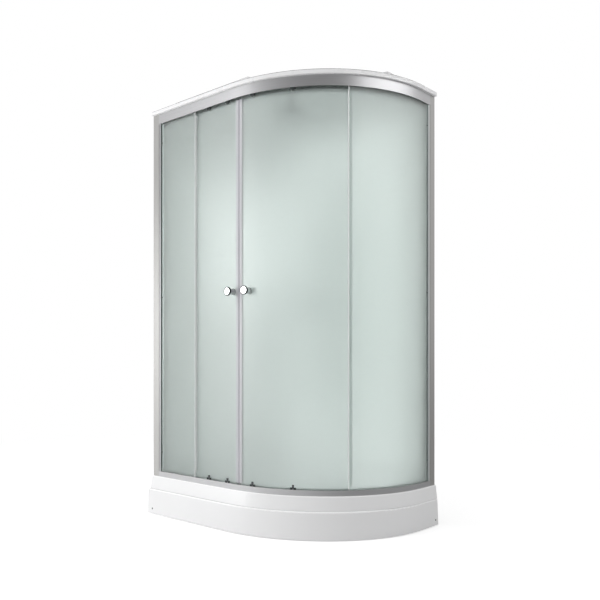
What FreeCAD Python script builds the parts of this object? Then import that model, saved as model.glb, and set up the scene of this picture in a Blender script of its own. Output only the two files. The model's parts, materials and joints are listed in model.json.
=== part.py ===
import FreeCAD, Part
import math
import os
import Sketcher

# Shower cabin on an offset round tray, standing in the corner of a room.
# Millimetres, +Z up. The origin is on the floor, at the centre of the tray's footprint.
# The long wall is at the back (+Y), the short wall on the left (-X), the glass front looks to -Y and +X.

SIZES = [
    # Tray and apron
    ("tray_length", 1200, "tray along the back wall"),
    ("tray_depth", 800, "tray along the side wall"),
    ("apron_clear", 3, "gap under the apron"),
    ("apron_top", 126, "top of the apron"),
    ("apron_slope", 5, "how far the apron leans in at its top"),
    ("apron_wall", 4, "apron sheet"),
    ("apron_lip", 10, "depth of the apron's top lip"),
    ("apron_ledge", 32, "width of the apron's top lip"),
    ("apron_round", 8, "rounding of the apron's top edge"),
    ("skirt_gap", 0.5, "gap between the apron and the tray's rim"),
    ("rim_top", 190, "height of the tray's rim"),
    ("rim_front", 9, "rim in front of the rail, at its top"),
    ("rim_end", 7, "rim beside the rail, at its top"),
    ("skirt_front", 21, "rim in front of the rail, at its foot"),
    ("skirt_end", 14, "rim beside the rail, at its foot"),
    ("rim_round", 4, "rounding of the rim's top edge"),
    ("tray_wall", 6, "tray shell"),
    ("basin_inset", 80, "from the rail face or wall to the basin"),
    ("basin_floor_height", 90, "height of the basin's floor"),
    ("basin_round", 12, "rounding of the basin's floor edge"),
    # Drain
    ("drain_along_share", 0.46, "drain between the frame's cross tube and its right tube"),
    ("drain_across_share", 0.39, "drain between the frame's middle tube and its back tube"),
    ("drain_hole", 45, "radius of the hole in the basin"),
    ("drain_cover_radius", 57, "radius of the cover"),
    ("drain_cover_height", 3, "thickness of the cover"),
    ("trap_radius", 55, "radius of the trap"),
    ("trap_wall", 4, "trap wall"),
    ("trap_foot", 14, "underside of the trap"),
    ("seal_height", 2, "thickness of the drain seal"),
    ("spigot_radius", 16, "outside radius of the waste outlet"),
    ("spigot_bore", 13.5, "inside radius of the waste outlet"),
    ("spigot_reach", 145, "end of the waste outlet, from the drain's axis"),
    ("spigot_height", 34, "axis of the waste outlet above the floor"),
    ("collar_wall", 3.5, "collar at the root of the waste outlet"),
    ("collar_run", 6, "collar past the trap"),
    # Frame and feet
    ("tube", 25, "square tube of the frame"),
    ("frame_inset", 60, "frame tubes, from the tray's outside"),
    ("waist_share", 0.4, "middle tube in front of the rails' straight end, share of the round corner"),
    ("front_tube_past", 140, "front tube, past the flat front's length"),
    ("stud_radius", 6, "foot stud"),
    ("pad_radius", 25, "foot pad"),
    ("pad_height", 10, "foot pad"),
    ("bracket_width", 30, "apron bracket"),
    ("bracket_sheet", 3, "apron bracket"),
    ("apron_screw_level", 28, "height of the apron's end screws"),
    ("left_screw_inset", 36, "left end screw, from the apron's end"),
    ("right_screw_inset", 24, "right end screw, from the apron's end"),
    ("apron_screw_radius", 4.5, "head of an apron screw"),
    ("screw_clear", 0.2, "apron screw in its hole"),
    # Rails
    ("rail_front_gap", 40, "rail face behind the apron's front"),
    ("rail_end_gap", 20, "rail face inside the apron's end"),
    ("end_straight", 130, "straight end of the rails, from the back wall"),
    ("rail_wall", 2, "wall of the rails"),
    ("rail_depth", 38, "depth of the rails"),
    ("track_near", 26, "track, from the rail face"),
    ("low_rail", 25, "height of the bottom rail"),
    ("low_track", 9.7, "bottom track above the tray's rim"),
    ("top_rail", 50, "height of the top rail's face"),
    ("cabin_top", 2050, "top of the top rail"),
    ("hook_drop", 16, "track leg below the top rail's face"),
    ("track_sheet", 3, "thickness of the upper track"),
    ("wheel_gap", 0.3, "wheel above its track"),
    # Wall profiles
    ("profile_width", 42, "visible width of a wall profile"),
    ("profile_depth", 46, "depth of a wall profile"),
    ("profile_wall", 2, "wall of the profiles"),
    ("glazing_reach", 54, "visible edge of the glazing profile, from the wall"),
    ("glazing_leg", 72, "edge of the glazing profile's inner leg"),
    ("glazing_root", 8, "back of the glazing profile, from the wall"),
    ("glass_bite", 30, "glass edge in the glazing profile, from the wall"),
    ("glazing_slack", 0.3, "play of the glass in the glazing profile"),
    ("gasket_width", 3, "gasket lip"),
    ("gasket_thick", 1.8, "gasket lip"),
    ("screw_radius", 4, "head of a glazing screw"),
    ("screw_head", 2.5, "head of a glazing screw"),
    ("screw_margin", 100, "first and last glazing screw, from the rails"),
    # Glass
    ("glass", 5, "glass thickness"),
    ("fixed_depth", 5, "outer face of the fixed glass, from the rail face"),
    ("door_depth", 18, "outer face of the door glass, from the rail face"),
    ("fixed_top_gap", 6, "fixed glass below the cabin's top"),
    ("fixed_over", 15, "left fixed panel, past half of the flat front"),
    ("right_edge_angle", 52.3, "free edge of the right fixed panel, degrees round the corner"),
    ("door_lap", 9, "left door behind the left fixed panel"),
    ("meet_past", 30, "glass edge of the left door, past the start of the round corner"),
    ("meet_gap", 21.8, "between the glass edges of the two doors"),
    ("right_stop_angle", 53.3, "tail of the right door, degrees round the corner"),
    ("door_low", 9, "door glass above the tray's rim"),
    ("door_high", 15, "door glass above the top rail's lower edge"),
    # Seals
    ("seal_lip", 4, "edge seal of a fixed panel"),
    ("seal_cheek", 0.9, "cheek of a seal"),
    ("seal_grip", 8, "cheeks on the glass"),
    ("fin_run", 5, "fin of the left seal, along the front"),
    ("fin_deep", 15.6, "fin of the left seal, from the rail face"),
    ("fin_sheet", 1.2, "fin of the left seal"),
    ("low_seal_clear", 30, "seals clear of the bottom rail"),
    ("top_seal_clear", 18, "seals clear of the top rail"),
    ("seal_gap", 0.3, "seals and fittings off the glass"),
    ("meet_nose", 5, "nose of a meeting seal"),
    ("magnet", 5.4, "magnet strip"),
    ("tail_deep", 11.6, "lip of a tail seal, from the rail face"),
    ("tail_lip", 3, "tail seal"),
    # Rollers
    ("tail_roller_share", 0.35, "tail roller of the left door, from its tail, share of its width"),
    ("meet_roller_share", 0.215, "meeting roller of the left door, from its meeting edge"),
    ("meet_roller_angle", 11, "meeting roller of the right door, degrees round the corner"),
    ("tail_roller_angle", 29.2, "tail roller of the right door, degrees round the corner"),
    ("cap_radius", 12, "upper roller cap"),
    ("cap_rise", 3, "upper roller axis above the top rail's lower edge"),
    ("cap_thick", 6, "upper roller cap"),
    ("cap_chamfer", 1.5, "upper roller cap"),
    ("pin_radius", 5, "roller pin in the glass"),
    ("pin_clear", 0.4, "roller pin in the glass"),
    ("boss_radius", 10, "inner boss of a roller"),
    ("boss_thick", 2.5, "inner boss of a roller"),
    ("axle_radius", 3, "roller axle"),
    ("axle_clear", 0.08, "wheel on its axle"),
    ("side_play", 0.5, "wheel between its washers"),
    ("washer_thick", 1, "end washer of an axle"),
    ("washer_radius", 5, "end washer of an axle"),
    ("wheel_width", 7, "wheel"),
    ("wheel_radius", 11.5, "upper wheel"),
    ("wheel_crown", 1, "bevel of a wheel's edge"),
    ("low_wheel_radius", 8, "lower wheel"),
    ("low_pin_level", 18, "lower roller axis above the tray's rim"),
    ("carrier_width", 26, "lower carrier"),
    ("carrier_low", 13, "lower carrier's foot above the tray's rim"),
    ("carrier_high", 32, "lower carrier's shoulder above the tray's rim"),
    ("carrier_thick", 5.8, "lower carrier"),
    ("button_width", 8, "release button"),
    ("button_proud", 12, "release button above its carrier"),
    ("button_seat", 4, "release button in its slot"),
    ("button_travel", 5, "release button"),
    ("button_play", 0.3, "release button in its slot"),
    # Knobs
    ("knob_level", 1107, "height of the knobs"),
    ("knob_inset", 25, "left knob, from the glass edge of its door"),
    ("knob_angle", 8.9, "right knob, degrees round the corner"),
    ("knob_reach", 44, "knob in front of the glass"),
    ("knob_disc", 11, "thickness of the knob's head"),
    ("knob_radius", 21, "radius of the knob's head"),
    ("knob_edge", 2.5, "bevel of the knob's head"),
    ("knob_stem", 14.5, "radius of the knob's stem"),
    ("knob_foot", 16, "radius of the knob's foot"),
    ("knob_foot_thick", 4, "thickness of the knob's foot"),
    ("knob_bolt", 4, "bolt through the glass"),
    ("inner_reach", 30, "inner knob behind the glass"),
    ("inner_radius", 16, "radius of the inner knob's head"),
    # Wall panels
    ("panel_inset", 14, "wall panels, from the tray's outside"),
    ("panel", 5, "wall panels"),
    ("corner_leg", 45, "leg of the rear corner profile"),
    ("corner_sheet", 3, "rear corner profile"),
    ("panel_screw_radius", 4, "wall panel screw"),
    ("panel_screw_head", 2.5, "wall panel screw"),
    # Roof
    ("roof_lip", 12, "roof in front of the rail"),
    ("roof_height", 22, "height of the roof's lip"),
    ("roof_round", 9, "rounding of the roof's lip"),
    ("roof_wall", 4, "roof shell"),
    ("roof_seat", 32, "inside width of the roof's bearing"),
    ("crown_height", 66, "top of the raised middle above the rail"),
    ("crown_front", 70, "raised middle behind the rail face"),
    ("crown_end", 80, "raised middle behind the round end of the rail"),
    ("crown_start", 80, "raised middle, from the walls"),
    ("crown_past", 51, "corner of the raised front, past the start of the round corner"),
    ("crown_notch_depth", 90, "step back of the raised middle"),
    ("crown_before", 158, "corner of the raised end, before the straight end of the rails"),
    ("crown_step", 80, "step in of the raised end"),
    ("crown_round", 6, "rounding of the raised middle"),
    ("crown_corner", 14, "rounding of the raised middle's corners"),
    ("roof_screw_radius", 5, "roof screw"),
    # Rain head
    ("head_x", 80, "rain head, from the origin"),
    ("head_y", -72, "rain head, from the origin"),
    ("head_radius", 58, "rain head"),
    ("head_thick", 12, "rain head"),
    ("head_drop", 75, "underside of the rain head below the top of the rail"),
    ("thread_radius", 10.4, "half-inch supply thread"),
    ("neck_radius", 9.6, "supply pipe behind its thread"),
    ("thread_hole", 10.8, "hole for a half-inch thread"),
    ("thread_length", 14, "free length of a supply thread"),
    ("nut_radius", 15, "lock nut of the inlet"),
    ("nut_thick", 5, "lock nut of the inlet"),
    # Mixer
    ("mixer_x", -180, "mixer, from the origin"),
    ("mixer_level", 1080, "height of the mixer"),
    ("mixer_radius", 22, "mixer barrel"),
    ("mixer_over", 20, "mixer barrel, past the supplies"),
    ("mixer_off", 45, "mixer axis in front of the wall panel"),
    ("inlet_pitch", 150, "distance between the supplies"),
    ("rosette_radius", 30, "rosette on the wall panel"),
    ("rosette_thick", 8, "rosette on the wall panel"),
    ("handle_radius", 20, "mixer handles"),
    ("handle_length", 38, "mixer handles"),
    ("handle_gap", 0.4, "handle off the barrel"),
    ("handle_pin", 6, "spindle of a handle"),
    ("handle_pin_length", 14, "spindle of a handle"),
    ("lever_length", 62, "lever of the mixer, from its axis"),
    ("lever_width", 12, "lever of the mixer"),
    ("lever_thick", 8, "lever of the mixer"),
]

doc = FreeCAD.newDocument("shower_cabin")
sheet = doc.addObject("Spreadsheet::Sheet", "dims")


class Dim:
    """A size with its number and the sheet expression that gives it."""

    def __init__(self, value, text):
        self.value = float(value)
        self.text = text

    def __add__(self, other):
        other = dim(other)
        return Dim(self.value + other.value, "(%s + %s)" % (self.text, other.text))

    def __radd__(self, other):
        return dim(other) + self

    def __sub__(self, other):
        other = dim(other)
        return Dim(self.value - other.value, "(%s - %s)" % (self.text, other.text))

    def __rsub__(self, other):
        return dim(other) - self

    def __mul__(self, factor):
        factor = dim(factor)
        return Dim(self.value * factor.value, "(%s * %s)" % (self.text, factor.text))

    def __rmul__(self, factor):
        return dim(factor) * self

    def __truediv__(self, divisor):
        divisor = dim(divisor)
        return Dim(self.value / divisor.value, "(%s / %s)" % (self.text, divisor.text))

    def __neg__(self):
        return Dim(-self.value, "(0 - %s)" % self.text)


def dim(size):
    if isinstance(size, Dim):
        return size
    return Dim(size, repr(size))


class Sizes:
    """The sheet's sizes by name."""


d = Sizes()
for row, (alias, number, words) in enumerate(SIZES, 1):
    sheet.set("A%d" % row, words)
    sheet.set("B%d" % row, str(number))
    sheet.setAlias("B%d" % row, alias)
    setattr(d, alias, Dim(number, "dims." + alias))
doc.recompute()

# Places that many pieces share
DEGREES = 180 / math.pi
QUARTER = 90
x_wall = -d.tray_length / 2
y_wall = d.tray_depth / 2
y_apron = -d.tray_depth / 2
x_apron = d.tray_length / 2
y_rail = y_apron + d.rail_front_gap
x_rail = x_apron - d.rail_end_gap
rail_radius = d.tray_depth - d.rail_front_gap - d.end_straight
apron_radius = rail_radius + d.rail_end_gap
x_corner = x_rail - rail_radius
y_corner = y_rail + rail_radius
flat_front = x_corner - x_wall
rail_start = x_wall + d.profile_width
rail_finish = y_wall - d.profile_width
top_rail_foot = d.cabin_top - d.top_rail
low_rail_top = d.rim_top + d.low_rail
web_top = d.rim_top + d.rail_wall
door_inner = d.door_depth + d.glass
door_meet = flat_front + d.meet_past
left_edge = door_meet / 2 + d.fixed_over
door_tail = left_edge - d.door_lap
door_width = door_meet - door_tail
right_start = (d.meet_past + d.meet_gap) / (rail_radius - d.door_depth) * DEGREES
left_roller_tail = door_tail + door_width * d.tail_roller_share
left_roller_meet = door_meet - door_width * d.meet_roller_share
left_knob = door_meet - d.knob_inset
frame_left = x_wall + d.frame_inset
frame_front = y_apron + d.frame_inset
frame_back = y_wall - d.frame_inset
frame_right = x_rail - d.frame_inset
waist = y_corner - rail_radius * d.waist_share
waist_back = waist + d.tube
front_tube_length = flat_front + d.front_tube_past
front_end = frame_left + front_tube_length
drain_x = front_end + (frame_right - d.tube - front_end) * d.drain_along_share
drain_y = waist_back + (frame_back - d.tube - waist_back) * d.drain_across_share
mixer_length = d.inlet_pitch + 2 * d.mixer_over
head_level = d.cabin_top - d.head_drop
fixed_inner = d.fixed_depth + d.glass
upper_axis = top_rail_foot + d.cap_rise
lower_axis = d.rim_top + d.low_pin_level
boss_end = door_inner + d.seal_gap + d.boss_thick
wheel_near = boss_end + d.side_play
wheel_far = wheel_near + d.wheel_width
axle_end = wheel_far + d.side_play + d.washer_thick
panel_face_y = y_wall - d.panel_inset - d.panel
panel_face_x = x_wall + d.panel_inset + d.panel
mixer_y = panel_face_y - d.mixer_off
crown_top = d.cabin_top + d.crown_height
frame_top = d.basin_floor_height - d.tray_wall
frame_foot = frame_top - d.tube

parts = []


def keep(label, piece):
    """Registers a finished sub-part under the name of its file."""
    piece.Label = label
    parts.append(piece)
    return piece


def bind(thing, prop, size):
    thing.setExpression(prop, dim(size).text)


def put(piece, x=0, y=0, z=0, turn=None):
    """Places a piece, turned about the vertical where turn is given in degrees."""
    if turn is not None:
        start = dim(turn).value or 1.0
        spin = FreeCAD.Rotation(FreeCAD.Vector(0, 0, 1), start)
        piece.Placement = FreeCAD.Placement(FreeCAD.Vector(), spin)
        bind(piece, "Placement.Rotation.Angle", turn)
    bind(piece, "Placement.Base.x", x)
    bind(piece, "Placement.Base.y", y)
    bind(piece, "Placement.Base.z", z)
    return piece


def box(x, y, z):
    """Block between pairs of planes."""
    block = doc.addObject("Part::Box", "block")
    bind(block, "Length", dim(x[1]) - x[0])
    bind(block, "Width", dim(y[1]) - y[0])
    bind(block, "Height", dim(z[1]) - z[0])
    return put(block, x[0], y[0], z[0])


TILT = {"X": (0, 1, 0, 90), "Y": (1, 0, 0, -90), "Z": (0, 0, 1, 0)}


def rod(axis, x, y, z, radius, length):
    """Round bar from a point along an axis of the frame."""
    bar = doc.addObject("Part::Cylinder", "bar")
    bind(bar, "Radius", radius)
    bind(bar, "Height", length)
    tilt = TILT[axis]
    bar.Placement = FreeCAD.Placement(FreeCAD.Vector(), FreeCAD.Rotation(FreeCAD.Vector(*tilt[:3]), tilt[3]))
    return put(bar, x, y, z)


def joined(pieces):
    fuse = doc.addObject("Part::MultiFuse", "joined")
    fuse.Shapes = pieces
    return fuse


def drilled(base, tools):
    cut = doc.addObject("Part::Cut", "drilled")
    cut.Base = base
    cut.Tool = tools[0] if len(tools) == 1 else together(tools)
    return cut


def together(pieces):
    """Separate solids kept as one group."""
    group = doc.addObject("Part::Compound", "together")
    group.Links = pieces
    return group


def local(piece):
    """Gives a piece that is shaped in place a placement of its own."""
    return together([piece])


def new_body(name):
    return doc.addObject("PartDesign::Body", name)


def new_sketch(body, name, role, level=0):
    """Sketch on an origin plane of its own body, lifted by level."""
    sketch = body.newObject("Sketcher::SketchObject", name)
    plane = [f for f in body.Origin.OriginFeatures if f.Role == role][0]
    sketch.AttachmentSupport = [(plane, "")]
    sketch.MapMode = "FlatFace"
    bind(sketch, "AttachmentOffset.Base.z", level)
    return sketch


def pin_point(sketch, geo, pos, x=None, y=None):
    """Holds a sketch point at sheet positions."""
    for kind, size in (("DistanceX", x), ("DistanceY", y)):
        if size is None:
            continue
        size = dim(size)
        index = sketch.addConstraint(Sketcher.Constraint(kind, -1, 1, geo, pos, size.value))
        sketch.setExpression("Constraints[%d]" % index, size.text)


def point(x, y):
    return FreeCAD.Vector(dim(x).value, dim(y).value, 0)


def add_line(sketch, start, end):
    return sketch.addGeometry(Part.LineSegment(point(*start), point(*end)), False)


def add_quarter(sketch, x, y, radius):
    """Quarter circle from the front round to the end of the cabin."""
    circle = Part.Circle(point(x, y), FreeCAD.Vector(0, 0, 1), dim(radius).value)
    quarter = 1.5707963267948966
    return sketch.addGeometry(Part.ArcOfCircle(circle, 3 * quarter, 4 * quarter), False)


def pin_quarter(sketch, geo, x, y, radius):
    pin_point(sketch, geo, 3, x, y)
    pin_point(sketch, geo, 1, x, y - radius)
    pin_point(sketch, geo, 2, None, y)


def meet(sketch, *pairs):
    for first, first_pos, second, second_pos in pairs:
        sketch.addConstraint(Sketcher.Constraint("Coincident", first, first_pos, second, second_pos))


def polygon(body, name, role, corners, level=0):
    """Straight-sided closed sketch, each corner held by the sheet."""
    sketch = new_sketch(body, name, role, level)
    count = len(corners)
    lines = [add_line(sketch, corners[i], corners[(i + 1) % count]) for i in range(count)]
    meet(sketch, *[(lines[i], 2, lines[(i + 1) % count], 1) for i in range(count)])
    for line, corner in zip(lines, corners):
        pin_point(sketch, line, 1, *corner)
    return sketch


def outline(body, name, level, front, end, radius, inset=0):
    """Plan outline: straight front, round corner, straight end, and back along the two walls."""
    front = front + inset
    end = end - inset
    radius = radius - inset
    left = x_wall + inset
    back = y_wall - inset
    x = end - radius
    y = front + radius
    sketch = new_sketch(body, name, "XY_Plane", level)
    face = add_line(sketch, (left, front), (x, front))
    arc = add_quarter(sketch, x, y, radius)
    side = add_line(sketch, (end, y), (end, back))
    rear = add_line(sketch, (end, back), (left, back))
    close = add_line(sketch, (left, back), (left, front))
    meet(sketch, (face, 2, arc, 1), (arc, 2, side, 1), (side, 2, rear, 1), (rear, 2, close, 1),
         (close, 2, face, 1))
    pin_quarter(sketch, arc, x, y, radius)
    pin_point(sketch, rear, 1, end, back)
    pin_point(sketch, close, 1, left, back)
    pin_point(sketch, face, 1, left, front)
    return sketch


def band(body, name, level, front, end, radius, outer, inner, left, back):
    """Plan strip that follows the front between two depths behind its face."""
    x = end - radius
    y = front + radius
    far = radius - outer
    near = radius - inner
    sketch = new_sketch(body, name, "XY_Plane", level)
    face = add_line(sketch, (left, y - far), (x, y - far))
    arc = add_quarter(sketch, x, y, far)
    side = add_line(sketch, (x + far, y), (x + far, back))
    tip = add_line(sketch, (x + far, back), (x + near, back))
    inside = add_line(sketch, (x + near, back), (x + near, y))
    back_arc = add_quarter(sketch, x, y, near)
    hidden = add_line(sketch, (x, y - near), (left, y - near))
    root = add_line(sketch, (left, y - near), (left, y - far))
    meet(sketch, (face, 2, arc, 1), (arc, 2, side, 1), (side, 2, tip, 1), (tip, 2, inside, 1))
    meet(sketch, (inside, 2, back_arc, 2), (back_arc, 1, hidden, 1), (hidden, 2, root, 1), (root, 2, face, 1))
    pin_quarter(sketch, arc, x, y, far)
    pin_quarter(sketch, back_arc, x, y, near)
    pin_point(sketch, tip, 1, x + far, back)
    pin_point(sketch, inside, 1, x + near, back)
    pin_point(sketch, root, 1, left, y - near)
    pin_point(sketch, face, 1, left, y - far)
    return sketch


def rail_band(body, name, low, high, outer, inner):
    """Pad along the whole rail between two levels and two depths."""
    sketch = band(body, name, low, y_rail, x_rail, rail_radius, dim(outer), dim(inner),
                  rail_start, rail_finish)
    return pad(body, sketch, high - low)


def pad(body, sketch, length, reverse=False):
    feature = body.newObject("PartDesign::Pad", sketch.Name + "_pad")
    feature.Profile = sketch
    bind(feature, "Length", length)
    feature.Reversed = reverse
    sketch.Visibility = False
    return feature


def pocket(body, sketch, length, upward=False):
    feature = body.newObject("PartDesign::Pocket", sketch.Name + "_pocket")
    feature.Profile = sketch
    bind(feature, "Length", length)
    feature.Reversed = upward
    return feature


def loft(body, first, others, kind="PartDesign::AdditiveLoft"):
    feature = body.newObject(kind, first.Name + "_loft")
    feature.Profile = first
    feature.Sections = others
    feature.Ruled = True
    return feature


def turned(name, role, corners, angle=360):
    """Solid turned from a half section of (radius, along) corners about the sketch's upright axis."""
    body = new_body(name)
    sketch = polygon(body, name + "_section", role, corners)
    feature = body.newObject("PartDesign::Revolution", name + "_turn")
    feature.Profile = sketch
    feature.ReferenceAxis = (sketch, ["V_Axis"])
    bind(feature, "Angle", angle)
    return body


def rounded(body, base, radius, chosen):
    """Rounds the edges of a feature that chosen() accepts."""
    doc.recompute()
    names = ["Edge%d" % (i + 1) for i, edge in enumerate(base.Shape.Edges) if chosen(edge)]
    feature = body.newObject("PartDesign::Fillet", base.Name + "_round")
    feature.Base = (base, names)
    bind(feature, "Radius", radius)
    return feature


def level_edge(z, front_only):
    """Edges that lie flat at a height; front_only leaves out those along the walls."""
    def chosen(edge):
        ends = edge.BoundBox
        if abs(ends.ZMin - z.value) > 0.01 or abs(ends.ZMax - z.value) > 0.01:
            return False
        if not front_only:
            return True
        on_left = abs(ends.XMax - x_wall.value) < 0.01
        on_back = abs(ends.YMin - y_wall.value) < 0.01
        return not (on_left or on_back)
    return chosen


def upright_edge(top):
    """Edges that stand straight up to a height."""
    def chosen(edge):
        ends = edge.BoundBox
        return max(ends.XLength, ends.YLength) < 0.01 and abs(ends.ZMax - top.value) < 0.01
    return chosen


def depth(distance):
    """Depth behind the rail face, seen from the centre of the round corner."""
    return distance - rail_radius


def on_left(piece, run, z=0):
    """Stands a piece on the straight front, run from the left wall."""
    return put(piece, x_wall + run, y_corner, z)


def on_round(piece, angle, z=0):
    """Stands a piece on the round corner, at an angle from its start."""
    return put(piece, x_corner, y_corner, z, angle)


def make_tray():
    body = new_body("shower_tray")
    foot = d.apron_top + d.skirt_gap
    low = (y_rail - d.skirt_front, x_rail + d.skirt_end, rail_radius + d.skirt_end)
    high = (y_rail - d.rim_front, x_rail + d.rim_end, rail_radius + d.rim_end)

    def rim_edge(name, drop, back):
        """Outline of the rounded rim, dropped below the top and set back."""
        edge = (high[0] + back, high[1] - back, high[2] - back)
        return outline(body, name, d.rim_top - drop, *edge)
    skirt = outline(body, "skirt_foot", foot, *low)
    bends = [
        rim_edge("rim_shoulder", d.rim_round, dim(0)),
        rim_edge("rim_bend", d.rim_round * 0.3, d.rim_round * 0.3),
        rim_edge("rim_edge", dim(0), d.rim_round),
    ]
    loft(body, skirt, bends)
    hollow = outline(body, "hollow_foot", foot, *low, d.tray_wall)
    ceiling = outline(body, "hollow_top", d.rim_top - d.tray_wall, *high, d.tray_wall)
    loft(body, hollow, [ceiling], "PartDesign::SubtractiveLoft")
    plug = outline(body, "basin_outside", frame_top, y_rail, x_rail, rail_radius, d.basin_inset - d.tray_wall)
    pad(body, plug, d.rim_top - frame_top)
    bowl = outline(body, "basin_inside", d.rim_top, y_rail, x_rail, rail_radius, d.basin_inset)
    bowl = pocket(body, bowl, d.rim_top - d.basin_floor_height)
    bowl = rounded(body, bowl, d.basin_round, level_edge(d.basin_floor_height, False))
    hole = new_sketch(body, "drain_hole", "XY_Plane", d.basin_floor_height)
    circle = Part.Circle(point(drain_x, drain_y), FreeCAD.Vector(0, 0, 1), d.drain_hole.value)
    ring = hole.addGeometry(circle, False)
    pin_point(hole, ring, 3, drain_x, drain_y)
    index = hole.addConstraint(Sketcher.Constraint("Radius", ring, d.drain_hole.value))
    bind(hole, "Constraints[%d]" % index, d.drain_hole)
    pocket(body, hole, d.tray_wall)
    keep("shower_tray", body)


def make_apron():
    body = new_body("apron_form")
    ends = (x_wall, y_wall)
    top = (y_apron + d.apron_slope, x_apron - d.apron_slope, apron_radius - d.apron_slope)
    low = band(body, "apron_foot", d.apron_clear, y_apron, x_apron, apron_radius, dim(0), d.apron_wall, *ends)
    high = band(body, "apron_head", d.apron_top, *top, dim(0), d.apron_wall, *ends)
    loft(body, low, [high])
    ledge = band(body, "apron_ledge", d.apron_top - d.apron_lip, *top, d.apron_wall / 2, d.apron_ledge, *ends)
    lip = pad(body, ledge, d.apron_lip)
    outer = top[0].value

    def front_edge(edge):
        flat = level_edge(d.apron_top, False)(edge)
        middle = edge.valueAt((edge.FirstParameter + edge.LastParameter) / 2)
        x = top[1].value - top[2].value
        y = outer + top[2].value
        reach = FreeCAD.Vector(max(middle.x - x, 0), min(middle.y - y, 0), 0).Length
        return flat and abs(reach - top[2].value) < 0.01
    rounded(body, lip, d.apron_round, front_edge)
    keep("front_apron", drilled(body, apron_screws(d.apron_screw_radius + d.screw_clear)))
    keep("apron_screws", together(apron_screws(d.apron_screw_radius)))


def apron_screws(radius):
    """Screws through the two ends of the apron."""
    length = d.apron_slope + d.apron_wall + d.bracket_sheet
    x = x_wall + d.left_screw_inset
    y = y_wall - d.right_screw_inset
    return [
        rod("Y", x, y_apron, d.apron_screw_level, radius, length),
        rod("X", x_apron - length, y, d.apron_screw_level, radius, length),
    ]


def make_brackets():
    """Angle brackets between the front tube and the apron's ledge."""
    ledge_foot = d.apron_top - d.apron_lip
    front = y_apron + d.apron_slope + d.apron_wall + d.bracket_sheet
    pieces = []
    for share in (0.12, 0.6):
        body = new_body("bracket")
        corners = [
            (front, frame_foot),
            (frame_front, frame_foot),
            (frame_front, frame_foot + d.bracket_sheet),
            (front + d.bracket_sheet, frame_foot + d.bracket_sheet),
            (front + d.bracket_sheet, ledge_foot),
            (front, ledge_foot),
        ]
        sketch = polygon(body, "bracket_section", "YZ_Plane", corners)
        pad(body, sketch, d.bracket_width)
        pieces.append(put(body, frame_left + front_tube_length * share - d.bracket_width / 2))
    keep("apron_brackets", together(pieces))


def make_frame():
    left = frame_left
    front = frame_front
    back = frame_back
    right = frame_right
    level = (frame_foot, frame_top)
    tubes = [
        box((left, front_end), (front, front + d.tube), level),
        box((left, right), (back - d.tube, back), level),
        box((left, left + d.tube), (front, back), level),
        box((front_end - d.tube, front_end), (front, back), level),
        box((right - d.tube, right), (waist, back), level),
        box((front_end - d.tube, right), (waist, waist_back), level),
    ]
    keep("tray_frame", joined(tubes))
    half = d.tube / 2
    spots = [
        (left + half, front + half),
        (front_end - half, front + half),
        (left + half, back - half),
        (front_end - half, back - half),
        (right - half, back - half),
        (right - half, waist + half),
    ]
    studs = [rod("Z", x, y, d.pad_height, d.stud_radius, frame_foot - d.pad_height) for x, y in spots]
    keep("foot_studs", together(studs))
    pads = [rod("Z", x, y, 0, d.pad_radius, d.pad_height) for x, y in spots]
    keep("foot_pads", together(pads))


def make_drain():
    trap_top = frame_top - d.seal_height
    outside = rod("Z", drain_x, drain_y, d.trap_foot, d.trap_radius, trap_top - d.trap_foot)
    spigot = rod("Y", drain_x, drain_y, d.spigot_height, d.spigot_radius, d.spigot_reach)
    hollow = rod("Z", drain_x, drain_y, d.trap_foot + d.trap_wall, d.trap_radius - d.trap_wall,
                 trap_top - d.trap_foot)
    bore = rod("Y", drain_x, drain_y, d.spigot_height, d.spigot_bore, d.spigot_reach)
    collar = rod("Y", drain_x, drain_y, d.spigot_height, d.spigot_radius + d.collar_wall,
                 d.trap_radius + d.collar_run)
    keep("drain_trap", drilled(joined([outside, collar, spigot]), [hollow, bore]))
    ring = rod("Z", drain_x, drain_y, trap_top, d.trap_radius, d.seal_height)
    eye = rod("Z", drain_x, drain_y, trap_top, d.drain_hole, d.seal_height)
    keep("drain_seal", drilled(ring, [eye]))
    neck = d.drain_hole - d.pin_clear
    edge = d.drain_cover_height / 2
    corners = [
        (0, d.basin_floor_height),
        (neck - d.trap_wall, d.basin_floor_height),
        (neck - d.trap_wall, frame_top),
        (neck, frame_top),
        (neck, d.basin_floor_height),
        (d.drain_cover_radius, d.basin_floor_height),
        (d.drain_cover_radius, d.basin_floor_height + edge),
        (d.drain_cover_radius - edge, d.basin_floor_height + d.drain_cover_height),
        (0, d.basin_floor_height + d.drain_cover_height),
    ]
    keep("drain_cover", put(turned("drain_cover", "XZ_Plane", corners), drain_x, drain_y))


def make_rails():
    body = new_body("bottom_rail")
    rail_band(body, "low_web", d.rim_top, web_top, 0, d.rail_depth)
    rail_band(body, "low_face", web_top, low_rail_top, 0, d.rail_wall)
    rail_band(body, "low_leg", web_top, low_rail_top, d.rail_depth - d.rail_wall, d.rail_depth)
    rail_band(body, "low_step", web_top, d.rim_top + d.low_track, d.track_near, d.rail_depth - d.rail_wall)
    keep("bottom_rail", body)
    body = new_body("top_rail")
    track = upper_axis - d.wheel_radius - d.wheel_gap
    rail_band(body, "top_web", d.cabin_top - d.rail_wall, d.cabin_top, 0, d.rail_depth)
    rail_band(body, "top_face", top_rail_foot, d.cabin_top - d.rail_wall, 0, d.rail_wall)
    rail_band(body, "top_leg", top_rail_foot - d.hook_drop, d.cabin_top - d.rail_wall,
              d.rail_depth - d.rail_wall, d.rail_depth)
    rail_band(body, "top_track", track - d.track_sheet, track, d.track_near, d.rail_depth - d.rail_wall)
    keep("top_rail", body)


def by_left(along, behind):
    """Plan point from the left wall and the rail face."""
    return (x_wall + along, y_rail + behind)


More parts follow.
